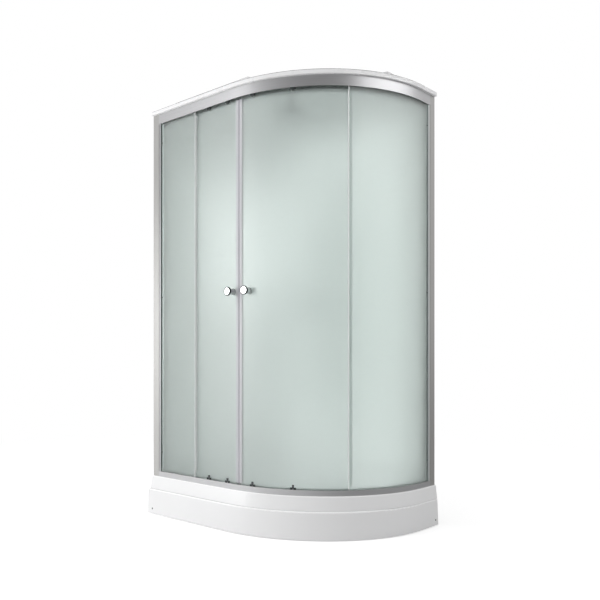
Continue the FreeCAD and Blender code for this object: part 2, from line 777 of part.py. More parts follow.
def by_right(along, behind):
    """Plan point from the back wall and the end face of the rail."""
    return (x_rail - behind, y_wall - along)


def upright(name, corners, low, high):
    """Extrusion standing between two levels."""
    body = new_body(name)
    pad(body, polygon(body, name + "_section", "XY_Plane", corners, low), high - low)
    return body


def upright_screws(side):
    """Screw heads on the inner leg of a glazing profile."""
    along = (d.glazing_reach + d.glazing_leg) / 2
    leg = fixed_inner + d.glazing_slack + d.profile_wall
    low = low_rail_top + d.screw_margin
    high = top_rail_foot - d.screw_margin
    levels = (low, (low + high) / 2, high)
    x, y = side(along, leg)
    if side is by_left:
        return [rod("Y", x, y, z, d.screw_radius, d.screw_head) for z in levels]
    return [rod("X", x - d.screw_head, y, z, d.screw_radius, d.screw_head) for z in levels]


def make_profiles():
    wall = d.profile_wall
    screws = []
    for name, side in (("left", by_left), ("right", by_right)):
        channel = [
            side(0, 0),
            side(d.profile_width, 0),
            side(d.profile_width, wall),
            side(wall, wall),
            side(wall, d.profile_depth - wall),
            side(d.profile_width, d.profile_depth - wall),
            side(d.profile_width, d.profile_depth),
            side(0, d.profile_depth),
        ]
        keep(name + "_wall_profile", upright(name + "_wall_profile", channel, d.rim_top, d.cabin_top))
        front = d.fixed_depth - d.glazing_slack
        rear = fixed_inner + d.glazing_slack
        holder = [
            side(d.glazing_root, wall),
            side(d.glazing_reach, wall),
            side(d.glazing_reach, front),
            side(d.glass_bite - d.glazing_slack, front),
            side(d.glass_bite - d.glazing_slack, rear),
            side(d.glazing_leg, rear),
            side(d.glazing_leg, rear + wall),
            side(d.glazing_root, rear + wall),
        ]
        keep(name + "_glazing_profile",
             upright(name + "_glazing_profile", holder, low_rail_top, top_rail_foot))
        lip = [
            side(d.glazing_reach, d.fixed_depth - d.gasket_thick),
            side(d.glazing_reach + d.gasket_width, d.fixed_depth - d.gasket_thick / 2),
            side(d.glazing_reach + d.gasket_width, d.fixed_depth),
            side(d.glazing_reach, d.fixed_depth),
        ]
        keep(name + "_gasket", upright(name + "_gasket", lip, low_rail_top, top_rail_foot))
        screws += upright_screws(side)
    keep("glazing_screws", together(screws))


def make_fixed_panels():
    top = d.cabin_top - d.fixed_top_gap
    keep("left_fixed_panel", box((x_wall + d.glass_bite, x_wall + left_edge),
                                 (y_rail + d.fixed_depth, y_rail + fixed_inner), (web_top, top)))
    body = new_body("right_fixed_panel")
    far = rail_radius - d.fixed_depth
    near = far - d.glass
    corners = [(near, web_top), (far, web_top), (far, top), (near, top)]
    section = polygon(body, "panel_section", "XZ_Plane", corners)
    bend = body.newObject("PartDesign::Revolution", "panel_bend")
    bend.Profile = section
    bend.ReferenceAxis = (section, ["V_Axis"])
    bind(bend, "Angle", QUARTER - d.right_edge_angle)
    bend.Reversed = True
    pad(body, section, y_wall - d.glass_bite - y_corner, True)
    keep("right_fixed_panel", put(body, x_corner, y_corner))
    make_fixed_seals()


def make_fixed_seals():
    """Edge seals between the rails. Their fins stay clear of the rollers that pass behind them."""
    whole = (low_rail_top, top_rail_foot)
    clear = (low_rail_top + d.low_seal_clear, top_rail_foot - d.top_seal_clear)
    outside = d.fixed_depth - d.seal_cheek
    rim = left_edge + d.seal_lip
    tip = rim + d.fin_run
    lip = [
        by_left(left_edge, outside),
        by_left(rim, outside),
        by_left(rim, fixed_inner),
        by_left(left_edge, fixed_inner),
    ]
    fin = [
        by_left(rim, d.fixed_depth),
        by_left(tip, d.fin_deep - d.fin_sheet),
        by_left(tip, d.fin_deep),
        by_left(rim, fixed_inner),
    ]
    keep("left_fixed_seal", joined([upright("seal_lip", lip, *whole), upright("seal_fin", fin, *clear)]))
    across = (-d.seal_lip - d.seal_gap, -d.seal_gap)
    front = box(across, (depth(outside), depth(fixed_inner)), whole)
    behind = box(across, (depth(fixed_inner), depth(d.fin_deep)), clear)
    keep("right_fixed_seal", on_round(local(joined([front, behind])), d.right_edge_angle))


def glass_holes(levels):
    """Drills for the roller pins and the knob, at depths through the door glass."""
    start = depth(d.door_depth - d.glass)
    return [rod("Y", 0, start, z, radius + d.pin_clear, 3 * d.glass) for z, radius in levels]


def drill(stand, place, levels):
    return stand(together(glass_holes(levels)), place)


ROLLER_PINS = [(upper_axis, d.pin_radius), (lower_axis, d.pin_radius)]
KNOB_PIN = [(d.knob_level, d.knob_bolt)]


def make_left_glass():
    sheet_glass = box((x_wall + door_tail, x_wall + door_meet), (y_rail + d.door_depth, y_rail + door_inner),
                      (d.rim_top + d.door_low, top_rail_foot + d.door_high))
    drills = [
        drill(on_left, left_roller_tail, ROLLER_PINS),
        drill(on_left, left_roller_meet, ROLLER_PINS),
        drill(on_left, left_knob, KNOB_PIN),
    ]
    keep("left_door_glass", drilled(sheet_glass, drills))


def make_right_glass():
    low = d.rim_top + d.door_low
    high = top_rail_foot + d.door_high
    far = rail_radius - d.door_depth
    near = far - d.glass
    bent = turned("right_door_sheet", "XZ_Plane", [(near, low), (far, low), (far, high), (near, high)],
                  d.right_stop_angle - right_start)
    on_round(bent, right_start - QUARTER)
    drills = [
        drill(on_round, d.meet_roller_angle, ROLLER_PINS),
        drill(on_round, d.tail_roller_angle, ROLLER_PINS),
        drill(on_round, d.knob_angle, KNOB_PIN),
    ]
    keep("right_door_glass", drilled(bent, drills))


def make_door_seals():
    low = d.rim_top + d.low_rail + d.carrier_thick
    high = top_rail_foot - d.carrier_thick
    outer = d.door_depth - d.seal_gap
    inner = door_inner + d.seal_gap
    for name, stand, edge, hand in (("left", on_left, door_meet, 1), ("right", on_round, right_start, -1)):
        gap = d.seal_gap
        nose = d.meet_nose

        def span(first, last):
            """Run along the front, away from the glass edge towards the other door."""
            return (first, last) if hand == 1 else (-last, -first)
        blocks = [
            box(span(gap, nose), (depth(outer - d.seal_cheek), depth(inner + d.seal_cheek)), (low, high)),
            box(span(-d.seal_grip, gap), (depth(outer - d.seal_cheek), depth(outer)), (low, high)),
            box(span(-d.seal_grip, gap), (depth(inner), depth(inner + d.seal_cheek)), (low, high)),
        ]
        keep(name + "_meeting_seal", stand(joined(blocks), edge))
        magnet = box(span(nose, nose + d.magnet - gap), (depth(outer), depth(inner)), (low, high))
        keep(name + "_magnet_strip", stand(local(magnet), edge))
    clear = (low_rail_top + d.low_seal_clear, top_rail_foot - d.top_seal_clear)
    tails = (("left", on_left, door_tail, -1), ("right", on_round, d.right_stop_angle, 1))
    for name, stand, edge, hand in tails:
        first = -d.seal_gap - d.tail_lip if hand == -1 else d.seal_gap
        last = first + d.tail_lip
        tail = box((first, last), (depth(d.tail_deep), depth(inner + d.seal_cheek)), clear)
        grip = (first, first + d.seal_grip) if hand == -1 else (last - d.seal_grip, last)
        cheek = box(grip, (depth(inner), depth(inner + d.seal_cheek)), clear)
        keep(name + "_tail_seal", stand(joined([tail, cheek]), edge))


def upper_carrier():
    """Cap, pin through the glass, boss and axle of an upper roller, turned about the axle."""
    face = depth(d.door_depth - d.seal_gap)
    boss = depth(door_inner + d.seal_gap)
    end = depth(axle_end)
    return turned("upper_carrier", "XY_Plane", [
        (0, face - d.cap_thick),
        (d.cap_radius - d.cap_chamfer, face - d.cap_thick),
        (d.cap_radius, face - d.cap_thick + d.cap_chamfer),
        (d.cap_radius, face),
        (d.pin_radius, face),
        (d.pin_radius, boss),
        (d.boss_radius, boss),
        (d.boss_radius, depth(boss_end)),
        (d.axle_radius, depth(boss_end)),
        (d.axle_radius, end - d.washer_thick),
        (d.washer_radius, end - d.washer_thick),
        (d.washer_radius, end),
        (0, end),
    ])


def lower_carrier():
    """Outer block with the button's slot, pin, boss and axle of a lower roller."""
    face = depth(d.door_depth - d.seal_gap)
    boss = depth(door_inner + d.seal_gap)
    half = d.carrier_width / 2
    slot = d.button_width / 2 + d.button_play
    low = d.rim_top + d.carrier_low
    high = d.rim_top + d.carrier_high
    floor = high - d.button_seat - d.button_travel - d.button_play
    body = new_body("carrier_block")
    corners = [
        (-half, low),
        (half, low),
        (half, high),
        (slot, high),
        (slot, floor),
        (-slot, floor),
        (-slot, high),
        (-half, high),
    ]
    block = polygon(body, "carrier_face", "XZ_Plane", corners, -face)
    pad(body, block, d.carrier_thick)
    end = depth(axle_end)
    spindle = turned("lower_spindle", "XY_Plane", [
        (0, face - d.carrier_thick / 2),
        (d.pin_radius, face - d.carrier_thick / 2),
        (d.pin_radius, boss),
        (d.low_wheel_radius, boss),
        (d.low_wheel_radius, depth(boss_end)),
        (d.axle_radius, depth(boss_end)),
        (d.axle_radius, end - d.washer_thick),
        (d.washer_radius, end - d.washer_thick),
        (d.washer_radius, end),
        (0, end),
    ])
    return joined([body, put(spindle, 0, 0, lower_axis)])


def wheel(radius):
    bore = d.axle_radius + d.axle_clear
    near = depth(wheel_near)
    far = depth(wheel_far)
    middle = (near + far) / 2
    return turned("wheel", "XY_Plane", [
        (bore, near),
        (radius - d.wheel_crown, near),
        (radius, near + d.wheel_crown),
        (radius, middle - d.wheel_crown / 2),
        (radius - d.wheel_crown, middle),
        (radius, middle + d.wheel_crown / 2),
        (radius, far - d.wheel_crown),
        (radius - d.wheel_crown, far),
        (bore, far),
    ])


def button():
    high = d.rim_top + d.carrier_high
    half = d.button_width / 2
    face = depth(d.door_depth - d.seal_gap)
    return box((-half, half), (face - d.carrier_thick + d.button_play, face - d.button_play),
               (high - d.button_seat, high + d.button_proud))


def make_rollers():
    doors = [
        ("left", on_left, (("tail", left_roller_tail), ("meet", left_roller_meet))),
        ("right", on_round, (("meet", d.meet_roller_angle), ("tail", d.tail_roller_angle))),
    ]
    for door, stand, rollers in doors:
        keep(door + "_upper_carriers",
             together([stand(upper_carrier(), place, upper_axis) for end, place in rollers]))
        keep(door + "_lower_carriers", together([stand(lower_carrier(), place) for end, place in rollers]))
        for end, place in rollers:
            keep("%s_%s_upper_wheel" % (door, end), stand(wheel(d.wheel_radius), place, upper_axis))
            keep("%s_%s_lower_wheel" % (door, end), stand(wheel(d.low_wheel_radius), place, lower_axis))
            keep("%s_%s_release_button" % (door, end), stand(local(button()), place))


def make_knobs():
    face = depth(d.door_depth - d.seal_gap)
    back = depth(door_inner + d.seal_gap)
    for door, stand, place in (("left", on_left, left_knob), ("right", on_round, d.knob_angle)):
        tip = face - d.knob_reach
        outer = turned("outer_knob", "XY_Plane", [
            (0, tip),
            (d.knob_radius - d.knob_edge, tip),
            (d.knob_radius, tip + d.knob_edge),
            (d.knob_radius, tip + d.knob_disc - d.knob_edge),
            (d.knob_radius - d.knob_edge, tip + d.knob_disc),
            (d.knob_stem, tip + d.knob_disc + d.knob_edge),
            (d.knob_stem, face - d.knob_foot_thick),
            (d.knob_foot, face - d.knob_foot_thick),
            (d.knob_foot, face),
            (d.knob_bolt, face),
            (d.knob_bolt, back),
            (0, back),
        ])
        end = back + d.inner_reach
        inner = turned("inner_knob", "XY_Plane", [
            (0, back),
            (d.knob_foot, back),
            (d.knob_foot, back + d.knob_foot_thick),
            (d.knob_stem, back + d.knob_foot_thick),
            (d.inner_radius, end - d.knob_disc),
            (d.inner_radius, end - d.knob_edge),
            (d.inner_radius - d.knob_edge, end),
            (0, end),
        ])
        pair = [stand(outer, place, d.knob_level), stand(inner, place, d.knob_level)]
        keep(door + "_door_knobs", together(pair))


def make_walls():
    level = (d.rim_top, d.cabin_top)
    keep("side_wall_panel", box((x_wall + d.panel_inset, panel_face_x),
                                (y_rail + d.profile_depth, panel_face_y), level))
    half = d.inlet_pitch / 2
    holes = [rod("Y", d.mixer_x + shift, panel_face_y, d.mixer_level, d.thread_hole, d.panel)
             for shift in (-half, half)]
    back = box((x_wall + d.panel_inset, x_rail - d.profile_depth),
               (panel_face_y, y_wall - d.panel_inset), level)
    keep("back_wall_panel", drilled(back, holes))
    x = x_wall + d.panel_inset
    y = y_wall - d.panel_inset
    leg = d.corner_leg
    sheet_wall = d.corner_sheet
    angle = [
        (x - sheet_wall, y + sheet_wall),
        (x - sheet_wall, y - leg),
        (x, y - leg),
        (x, y),
        (x + leg, y),
        (x + leg, y + sheet_wall),
    ]
    keep("rear_corner_profile", upright("rear_corner_profile", angle, *level))
    screws = []
    for share in (0.1, 0.5, 0.9):
        z = d.rim_top + (d.cabin_top - d.rim_top) * share
        screws.append(rod("Y", x + leg / 2, y + sheet_wall, z, d.panel_screw_radius, d.panel_screw_head))
        screws.append(rod("X", x - sheet_wall - d.panel_screw_head, y - leg / 2, z,
                          d.panel_screw_radius, d.panel_screw_head))
    keep("corner_screws", together(screws))


def crown_corners(inset):
    """Plan of the raised middle: it steps back behind the round corner."""
    left = x_wall + d.crown_start + inset
    front = y_rail + d.crown_front + inset
    knee = x_corner + d.crown_past - inset
    end = x_rail - d.crown_end - inset
    turn = y_corner - d.crown_before + inset
    back = y_wall - d.crown_start - inset
    return [
        (left, front),
        (knee, front),
        (knee, front + d.crown_notch_depth),
        (end - d.crown_step, turn),
        (end, turn),
        (end, back),
        (left, back),
    ]


def make_roof():
    body = new_body("roof_form")
    lip_top = d.cabin_top + d.roof_height
    edge = (y_rail - d.roof_lip, x_rail + d.roof_lip, rail_radius + d.roof_lip)
    slab = pad(body, outline(body, "roof_outline", d.cabin_top, *edge), d.roof_height)
    rounded(body, slab, d.roof_round, level_edge(lip_top, True))
    plan = polygon(body, "crown_plan", "XY_Plane", crown_corners(dim(0)), d.cabin_top)
    crown = rounded(body, pad(body, plan, d.crown_height), d.crown_corner, upright_edge(crown_top))
    rounded(body, crown, d.crown_round, level_edge(crown_top, False))
    under = outline(body, "roof_hollow", d.cabin_top, y_rail, x_rail, rail_radius, d.roof_seat)
    pocket(body, under, d.roof_height - d.roof_wall, True)
    inside = polygon(body, "crown_hollow", "XY_Plane", crown_corners(d.roof_wall), d.cabin_top)
    hollow = pocket(body, inside, d.crown_height - d.roof_wall, True)
    rounded(body, hollow, d.crown_corner - d.roof_wall, upright_edge(crown_top - d.roof_wall))
    hole = rod("Z", d.head_x, d.head_y, d.cabin_top, d.thread_hole, d.crown_height)
    keep("roof_shell", drilled(body, [hole]))
    head = d.panel_screw_head
    spots = [
        (x_wall + d.roof_seat / 2, y_rail + d.profile_width),
        (x_wall + d.roof_seat / 2, 0),
        (x_wall + d.roof_seat / 2, y_wall - d.profile_width),
        (0, y_wall - d.roof_seat / 2),
        (x_rail - d.profile_width, y_wall - d.roof_seat / 2),
    ]
    keep("roof_screws", together([rod("Z", x, y, lip_top, d.roof_screw_radius, head) for x, y in spots]))


def make_rain_head():
    top = head_level + d.head_thick
    seat = crown_top - d.roof_wall
    edge = d.head_thick / 3
    corners = [
        (0, head_level),
        (d.head_radius - edge, head_level),
        (d.head_radius, head_level + edge),
        (d.head_radius, head_level + 2 * edge),
        (d.nut_radius, top + edge),
        (d.neck_radius, top + edge),
        (d.neck_radius, seat - d.nut_thick),
        (d.nut_radius, seat - d.nut_thick),
        (d.nut_radius, seat),
        (d.neck_radius, seat),
        (d.neck_radius, crown_top + d.nut_thick),
        (d.thread_radius, crown_top + d.nut_thick),
        (d.thread_radius, crown_top + d.nut_thick + d.thread_length),
        (0, crown_top + d.nut_thick + d.thread_length),
    ]
    keep("rain_head", put(turned("rain_head", "XZ_Plane", corners), d.head_x, d.head_y))
    nut = rod("Z", d.head_x, d.head_y, crown_top, d.nut_radius, d.nut_thick)
    eye = rod("Z", d.head_x, d.head_y, crown_top, d.neck_radius + d.pin_clear, d.nut_thick)
    keep("rain_head_nut", drilled(nut, [eye]))


def make_mixer():
    left = d.mixer_x - mixer_length / 2
    right = d.mixer_x + mixer_length / 2
    half = d.inlet_pitch / 2
    barrel = [rod("X", left, mixer_y, d.mixer_level, d.mixer_radius, mixer_length)]
    pin_length = d.handle_pin_length
    barrel.append(rod("X", left - pin_length, mixer_y, d.mixer_level, d.handle_pin,
                      mixer_length + 2 * pin_length))
    for shift in (-half, half):
        x = d.mixer_x + shift
        barrel.append(rod("Y", x, panel_face_y - d.rosette_thick, d.mixer_level,
                          d.rosette_radius, d.rosette_thick))
        barrel.append(rod("Y", x, mixer_y, d.mixer_level, d.neck_radius, y_wall - mixer_y))
        barrel.append(rod("Y", x, y_wall - d.panel_inset, d.mixer_level, d.thread_radius, d.panel_inset))
    keep("mixer_body", joined(barrel))
    for name, start, hand in (("diverter_knob", left, -1), ("mixer_lever", right, 1)):
        first = start + hand * d.handle_gap
        near = first if hand == 1 else first - d.handle_length
        grip = rod("X", near, mixer_y, d.mixer_level, d.handle_radius, d.handle_length)
        depth_of_hole = pin_length + d.handle_gap
        mouth = first if hand == 1 else first - depth_of_hole
        hole = rod("X", mouth, mixer_y, d.mixer_level, d.handle_pin + d.axle_clear, depth_of_hole)
        if hand == 1:
            middle = near + d.handle_length / 2
            arm = box((middle - d.lever_width / 2, middle + d.lever_width / 2),
                      (mixer_y - d.lever_length, mixer_y),
                      (d.mixer_level + d.handle_radius - d.lever_thick, d.mixer_level + d.handle_radius))
            grip = joined([grip, arm])
        keep(name, drilled(grip, [hole]))


make_tray()
make_apron()
make_brackets()
make_frame()
make_drain()
make_rails()
make_profiles()
make_fixed_panels()
make_left_glass()
make_right_glass()
make_door_seals()
make_rollers()
make_knobs()
make_walls()
make_roof()
make_rain_head()
make_mixer()
doc.recompute()

for thing in doc.Objects:
    if "Invalid" in thing.State or "Error" in thing.State:
        raise RuntimeError("%s (%s) failed: %s" % (thing.Name, thing.Label, thing.State))
for piece in parts:
    if piece.Shape.isNull() or not piece.Shape.isValid():
        raise RuntimeError("%s has no valid solid" % piece.Label)

os.makedirs("parts", exist_ok=True)
for piece in parts:
    piece.Shape.exportStep("parts/%s.step" % piece.Label)
    print("%-26s solids %d  volume %.0f" % (piece.Label, len(piece.Shape.Solids), piece.Shape.Volume))
print("nodes", len(parts))
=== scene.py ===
import json
import math

import bmesh
import bpy
from mathutils import Matrix, Vector


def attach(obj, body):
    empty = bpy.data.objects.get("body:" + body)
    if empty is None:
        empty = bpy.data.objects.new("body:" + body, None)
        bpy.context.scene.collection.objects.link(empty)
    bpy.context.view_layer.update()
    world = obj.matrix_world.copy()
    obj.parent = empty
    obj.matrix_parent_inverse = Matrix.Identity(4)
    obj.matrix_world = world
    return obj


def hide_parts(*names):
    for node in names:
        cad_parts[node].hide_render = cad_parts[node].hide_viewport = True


# Shower cabin with an offset round front. Metres, +Z up, the origin on the floor under the tray.
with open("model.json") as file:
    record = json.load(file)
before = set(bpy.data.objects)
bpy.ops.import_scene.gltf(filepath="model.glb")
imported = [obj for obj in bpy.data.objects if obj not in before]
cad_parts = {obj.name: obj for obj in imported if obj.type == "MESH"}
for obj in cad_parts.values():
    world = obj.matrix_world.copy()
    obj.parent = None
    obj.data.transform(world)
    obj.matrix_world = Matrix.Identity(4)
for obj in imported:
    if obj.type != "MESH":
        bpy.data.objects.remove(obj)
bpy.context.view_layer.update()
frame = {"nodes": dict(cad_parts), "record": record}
nodes = frame["nodes"]

HALF_LENGTH, HALF_DEPTH = 0.6, 0.4  # of the tray
ROUND_CENTRE = Vector((-0.050, 0.270, 0))  # axis of the round corner
RAIL_RADIUS = 0.630
DOOR_FACE = 0.018  # from the rail's face back to the outer face of the door glass
UP, DOWN = Vector((0, 0, 1)), Vector((0, 0, -1))
LEFT, RIGHT = Vector((-1, 0, 0)), Vector((1, 0, 0))
FRONT, BACK = Vector((0, -1, 0)), Vector((0, 1, 0))


# Camera
CAMERA_PLACE = (2.25985, -2.75102, 0.81195)
CAMERA_TURN = 44.296  # degrees about the vertical
CAMERA_LENS, CAMERA_SENSOR = 42.888, 36  # millimetres
CAMERA_SHIFT = (0.1227, 0.0918)


def set_camera():
    lens = bpy.data.cameras.new("front_camera")
    lens.sensor_width = CAMERA_SENSOR
    lens.lens = CAMERA_LENS
    lens.shift_x, lens.shift_y = CAMERA_SHIFT
    camera = bpy.data.objects.new("front_camera", lens)
    camera.location = CAMERA_PLACE
    camera.rotation_euler = (math.pi / 2, 0, math.radians(CAMERA_TURN))
    bpy.context.scene.collection.objects.link(camera)
    bpy.context.scene.camera = camera


# Node building
def add(tree, kind, settings=None, **inputs):
    """New node with its settings, and its inputs set or linked by name."""
    node = tree.nodes.new(kind)
    for name, value in (settings or {}).items():
        setattr(node, name, value)
    for name, value in inputs.items():
        plug(tree, node, name.replace("_", " "), value)
    return node


def plug(tree, node, name, value):
    """Sets or links one input, found by its number or by its name among those in use."""
    if isinstance(name, int):
        socket = node.inputs[name]
    else:
        socket = next(s for s in node.inputs if s.name == name and s.enabled)
    if isinstance(value, bpy.types.NodeSocket):
        tree.links.new(value, socket)
    else:
        socket.default_value = value


def worked_out(tree, operation, first, second):
    """Product, larger one or comparison of two values."""
    node = add(tree, "ShaderNodeMath", {"operation": operation})
    plug(tree, node, 0, first)
    plug(tree, node, 1, second)
    return node.outputs[0]


def ranged(tree, value, given, wanted, kind="SMOOTHSTEP"):
    """The value taken from the given range to the wanted one."""
    node = add(tree, "ShaderNodeMapRange", {"interpolation_type": kind}, Value=value,
               From_Min=given[0], From_Max=given[1], To_Min=wanted[0], To_Max=wanted[1])
    return node.outputs["Result"]


def run_along(tree, place, way):
    """How far a place lies along a way."""
    node = add(tree, "ShaderNodeVectorMath", {"operation": "DOT_PRODUCT"})
    plug(tree, node, 0, place)
    plug(tree, node, 1, way)
    return node.outputs["Value"]


def white_light(tree, kind, strength):
    """White background or glow."""
    return add(tree, kind, Color=(1, 1, 1, 1), Strength=strength).outputs[0]


def blended(tree, share, first, second):
    """Mix of two shaders."""
    node = add(tree, "ShaderNodeMixShader", Fac=share)
    plug(tree, node, 1, first)
    plug(tree, node, 2, second)
    return node.outputs[0]


# Light
AMBIENT = (0.24, 0.85)  # soft room light, from the side and from above
AMBIENT_RISE = (0.0, 0.9)  # height of the way looked at, over which it grows
CAMERA_SIDE = (0.6984, -0.7157, 0.0)
CAMERA_SIDE_EDGE = (0.5, 0.95)  # cosine to that side, where its dim patch begins and is full
ROOM_SHINE, CAMERA_SIDE_SHINE = 0.64, 0.27
NO_BOUNCE = 0.5  # a count of bounces below this is none
SOFTBOXES = [
    # name, place, aim, width and height, watts, beam in degrees, seen in shiny surfaces
    ("glass_softbox", (-1.8, -3.05, 1.15), (0, -0.3, 1.2), (1.6, 1.3), 28, 180, True),
    ("rail_softbox", (-1.85, -3.1, 3.3), (0, -0.3, 2.0), (1.7, 1.2), 8, 180, True),
    ("side_softbox", (3.4, 0.8, 3.05), (0.5, 0.1, 2.0), (3.2, 1.2), 20, 180, True),
    ("front_fill", (-2.6, -4.0, 1.6), (0, -0.2, 1.0), (2.5, 2.5), 23, 180, False),
    ("high_softbox", (-1.6, -2.8, 4.0), (0, -0.2, 0.6), (1.8, 1.8), 30, 180, False),
    ("roof_softbox", (3.2, -0.6, 2.35), (0.48, -0.12, 2.10), (0.6, 0.3), 0.36, 30, False),
]
CABIN_LIGHTS = [
    # name, place, aim, width and height, watts, beam in degrees
    ("back_light", (0.33, 0.06, 1.05), (0.54, 0.40, 1.05), (0.30, 1.80), 2.1, 180),
    ("corner_light", (-0.10, 0.06, 1.06), (-0.42, 0.40, 1.06), (0.36, 1.92), 1.5, 120),
    ("roof_light", (0.06, 0.12, 2.02), (0.06, 0.14, 0.0), (0.64, 0.36), 1.0, 180),
    ("tray_light", (0.12, 0.12, 0.14), (0.12, 0.14, 2.0), (0.64, 0.36), 0.9, 180),
    ("side_glow", (-0.28, 0.18, 1.43), (-0.60, 0.22, 1.43), (0.36, 0.66), 0.40, 110),
]


def set_softbox(name, place, aim, size, watts, beam, mirrored):
    light = bpy.data.lights.new(name, "AREA")
    light.shape = "RECTANGLE"
    light.size, light.size_y = size
    light.energy = watts
    light.spread = math.radians(beam)
    lamp = bpy.data.objects.new(name, light)
    lamp.location = place
    lamp.rotation_euler = (Vector(aim) - Vector(place)).to_track_quat("-Z", "Y").to_euler()
    lamp.visible_camera = False
    lamp.visible_glossy = mirrored
    bpy.context.scene.collection.objects.link(lamp)
    return lamp


def set_lamps():
    """Soft light from the front, the side and above, and weak lamps that light the walls inside."""
    for softbox in SOFTBOXES:
        set_softbox(*softbox)
    for softbox in CABIN_LIGHTS:
        set_softbox(*softbox, False).visible_transmission = False


def set_world():
    """White to the eye and through glass. Shiny surfaces see a pale room with a dim camera side."""
    world = bpy.data.worlds.new("studio")
    bpy.context.scene.world = world
    world.use_nodes = True
    tree = world.node_tree
    tree.nodes.clear()
    path = add(tree, "ShaderNodeLightPath").outputs
    way = add(tree, "ShaderNodeTexCoord").outputs["Generated"]
    room = ranged(tree, run_along(tree, way, CAMERA_SIDE), CAMERA_SIDE_EDGE,
                  (ROOM_SHINE, CAMERA_SIDE_SHINE))
    height = add(tree, "ShaderNodeSeparateXYZ", Vector=way).outputs["Z"]
    ambient = ranged(tree, height, AMBIENT_RISE, AMBIENT, "LINEAR")
    soft = white_light(tree, "ShaderNodeBackground", ambient)
    shine = white_light(tree, "ShaderNodeBackground", room)
    white = white_light(tree, "ShaderNodeBackground", 1.0)
    direct = worked_out(tree, "LESS_THAN", path["Diffuse Depth"], NO_BOUNCE)
    through = worked_out(tree, "MULTIPLY", path["Is Transmission Ray"], direct)
    seen = worked_out(tree, "MAXIMUM", path["Is Camera Ray"], through)
    lighting = blended(tree, path["Is Glossy Ray"], soft, shine)
    add(tree, "ShaderNodeOutputWorld", Surface=blended(tree, seen, lighting, white))


# Floor
FLOOR_RADIUS, FLOOR_SIDES = 30.0, 64
FLOOR_LEVEL = -0.0005
FLOOR_TONE = (0.82, 0.82, 0.82, 1)
FLOOR_LIFT = 0.42  # glow to the eye, so that the floor near the cabin comes out almost white
FLOOR_FADE = (1.0, 4.0)  # from the middle, where the floor begins to run out and is white
FLOOR_SHINE = (0.34, 1.0)  # in shiny surfaces, from the round end to the straight end
FLOOR_SHINE_RUN = (-0.9, 1.3)  # towards the straight end, where the change begins and ends
STRAIGHT_END = (-0.7071, -0.7071, 0.0)


def new_material(name):
    """Material with an empty tree, and that tree."""
    material = bpy.data.materials.new(name)
    material.use_nodes = True
    material.node_tree.nodes.clear()
    return material, material.node_tree


def floor_finish():
    """Pale, lifted to the eye, white far away, and graded in shiny surfaces."""
    material, tree = new_material("studio_floor")
    path = add(tree, "ShaderNodeLightPath").outputs
    place = add(tree, "ShaderNodeTexCoord").outputs["Object"]
    looked = worked_out(tree, "MAXIMUM", path["Is Camera Ray"], path["Is Transmission Ray"])
    lift = worked_out(tree, "MULTIPLY", looked, FLOOR_LIFT)
    away = add(tree, "ShaderNodeVectorMath", {"operation": "LENGTH"})
    plug(tree, away, 0, place)
    fade = ranged(tree, away.outputs["Value"], FLOOR_FADE, (0.0, 1.0))
    far = worked_out(tree, "MULTIPLY", fade, looked)
    near = add(tree, "ShaderNodeAddShader")
    plug(tree, near, 0, add(tree, "ShaderNodeBsdfDiffuse", Color=FLOOR_TONE).outputs[0])
    plug(tree, near, 1, white_light(tree, "ShaderNodeEmission", lift))
    white = white_light(tree, "ShaderNodeEmission", 1.0)
    plain = blended(tree, far, near.outputs[0], white)
    shine = ranged(tree, run_along(tree, place, STRAIGHT_END), FLOOR_SHINE_RUN, FLOOR_SHINE)
    mirrored = white_light(tree, "ShaderNodeEmission", shine)
    add(tree, "ShaderNodeOutputMaterial",
        Surface=blended(tree, path["Is Glossy Ray"], plain, mirrored))
    return material


def set_floor():
    """Pale floor that keeps the cabin's shadow and runs out into white."""
    mesh = bpy.data.meshes.new("studio_floor")
    form = bmesh.new()
    bmesh.ops.create_circle(form, cap_ends=True, segments=FLOOR_SIDES, radius=FLOOR_RADIUS,
                            matrix=Matrix.Translation((0, 0, FLOOR_LEVEL)))
    form.to_mesh(mesh)
    form.free()
    floor = bpy.data.objects.new("studio_floor", mesh)
    bpy.context.scene.collection.objects.link(floor)
    mesh.materials.append(floor_finish())


# Finishes
CLOUD_RANGE = (0.3, 0.7)  # part of the noise that runs from shade to tone
CLOUD_DETAIL, PEEL_DETAIL = 4.0, 2.0


def finish(name, tone, shade, grain, rough, relief, fine, spread=0.5, **sockets):
    """Surface with a mottled tone, uneven gloss and a fine relief.

    tone and shade are the two colours that the grain mixes, grain its scale along x, y and z, and
    spread how broken it is. rough is the lowest and highest roughness, relief the depth of the fine
    relief in metres, and fine the relief's scale."""
    material, tree = new_material(name)
    place = add(tree, "ShaderNodeTexCoord").outputs["Object"]
    laid = add(tree, "ShaderNodeMapping", Vector=place, Scale=grain)
    cloud = add(tree, "ShaderNodeTexNoise", Vector=laid.outputs[0], Scale=1.0, Detail=CLOUD_DETAIL,
                Roughness=spread).outputs["Fac"]
    colour = add(tree, "ShaderNodeValToRGB", Fac=cloud)
    for stop, position, paint in zip(colour.color_ramp.elements, CLOUD_RANGE, (shade, tone)):
        stop.position = position
        stop.color = (*paint, 1)
    gloss = ranged(tree, cloud, CLOUD_RANGE, rough, "LINEAR")
    tight = add(tree, "ShaderNodeMapping", Vector=place, Scale=fine)
    peel = add(tree, "ShaderNodeTexNoise", Vector=tight.outputs[0], Scale=1.0, Detail=PEEL_DETAIL)
    raised = add(tree, "ShaderNodeBump", Strength=1.0, Distance=relief, Height=peel.outputs["Fac"])
    shader = add(tree, "ShaderNodeBsdfPrincipled", Base_Color=colour.outputs["Color"],
                 Roughness=gloss, Normal=raised.outputs["Normal"], **sockets)
    add(tree, "ShaderNodeOutputMaterial", Surface=shader.outputs[0])
    return material


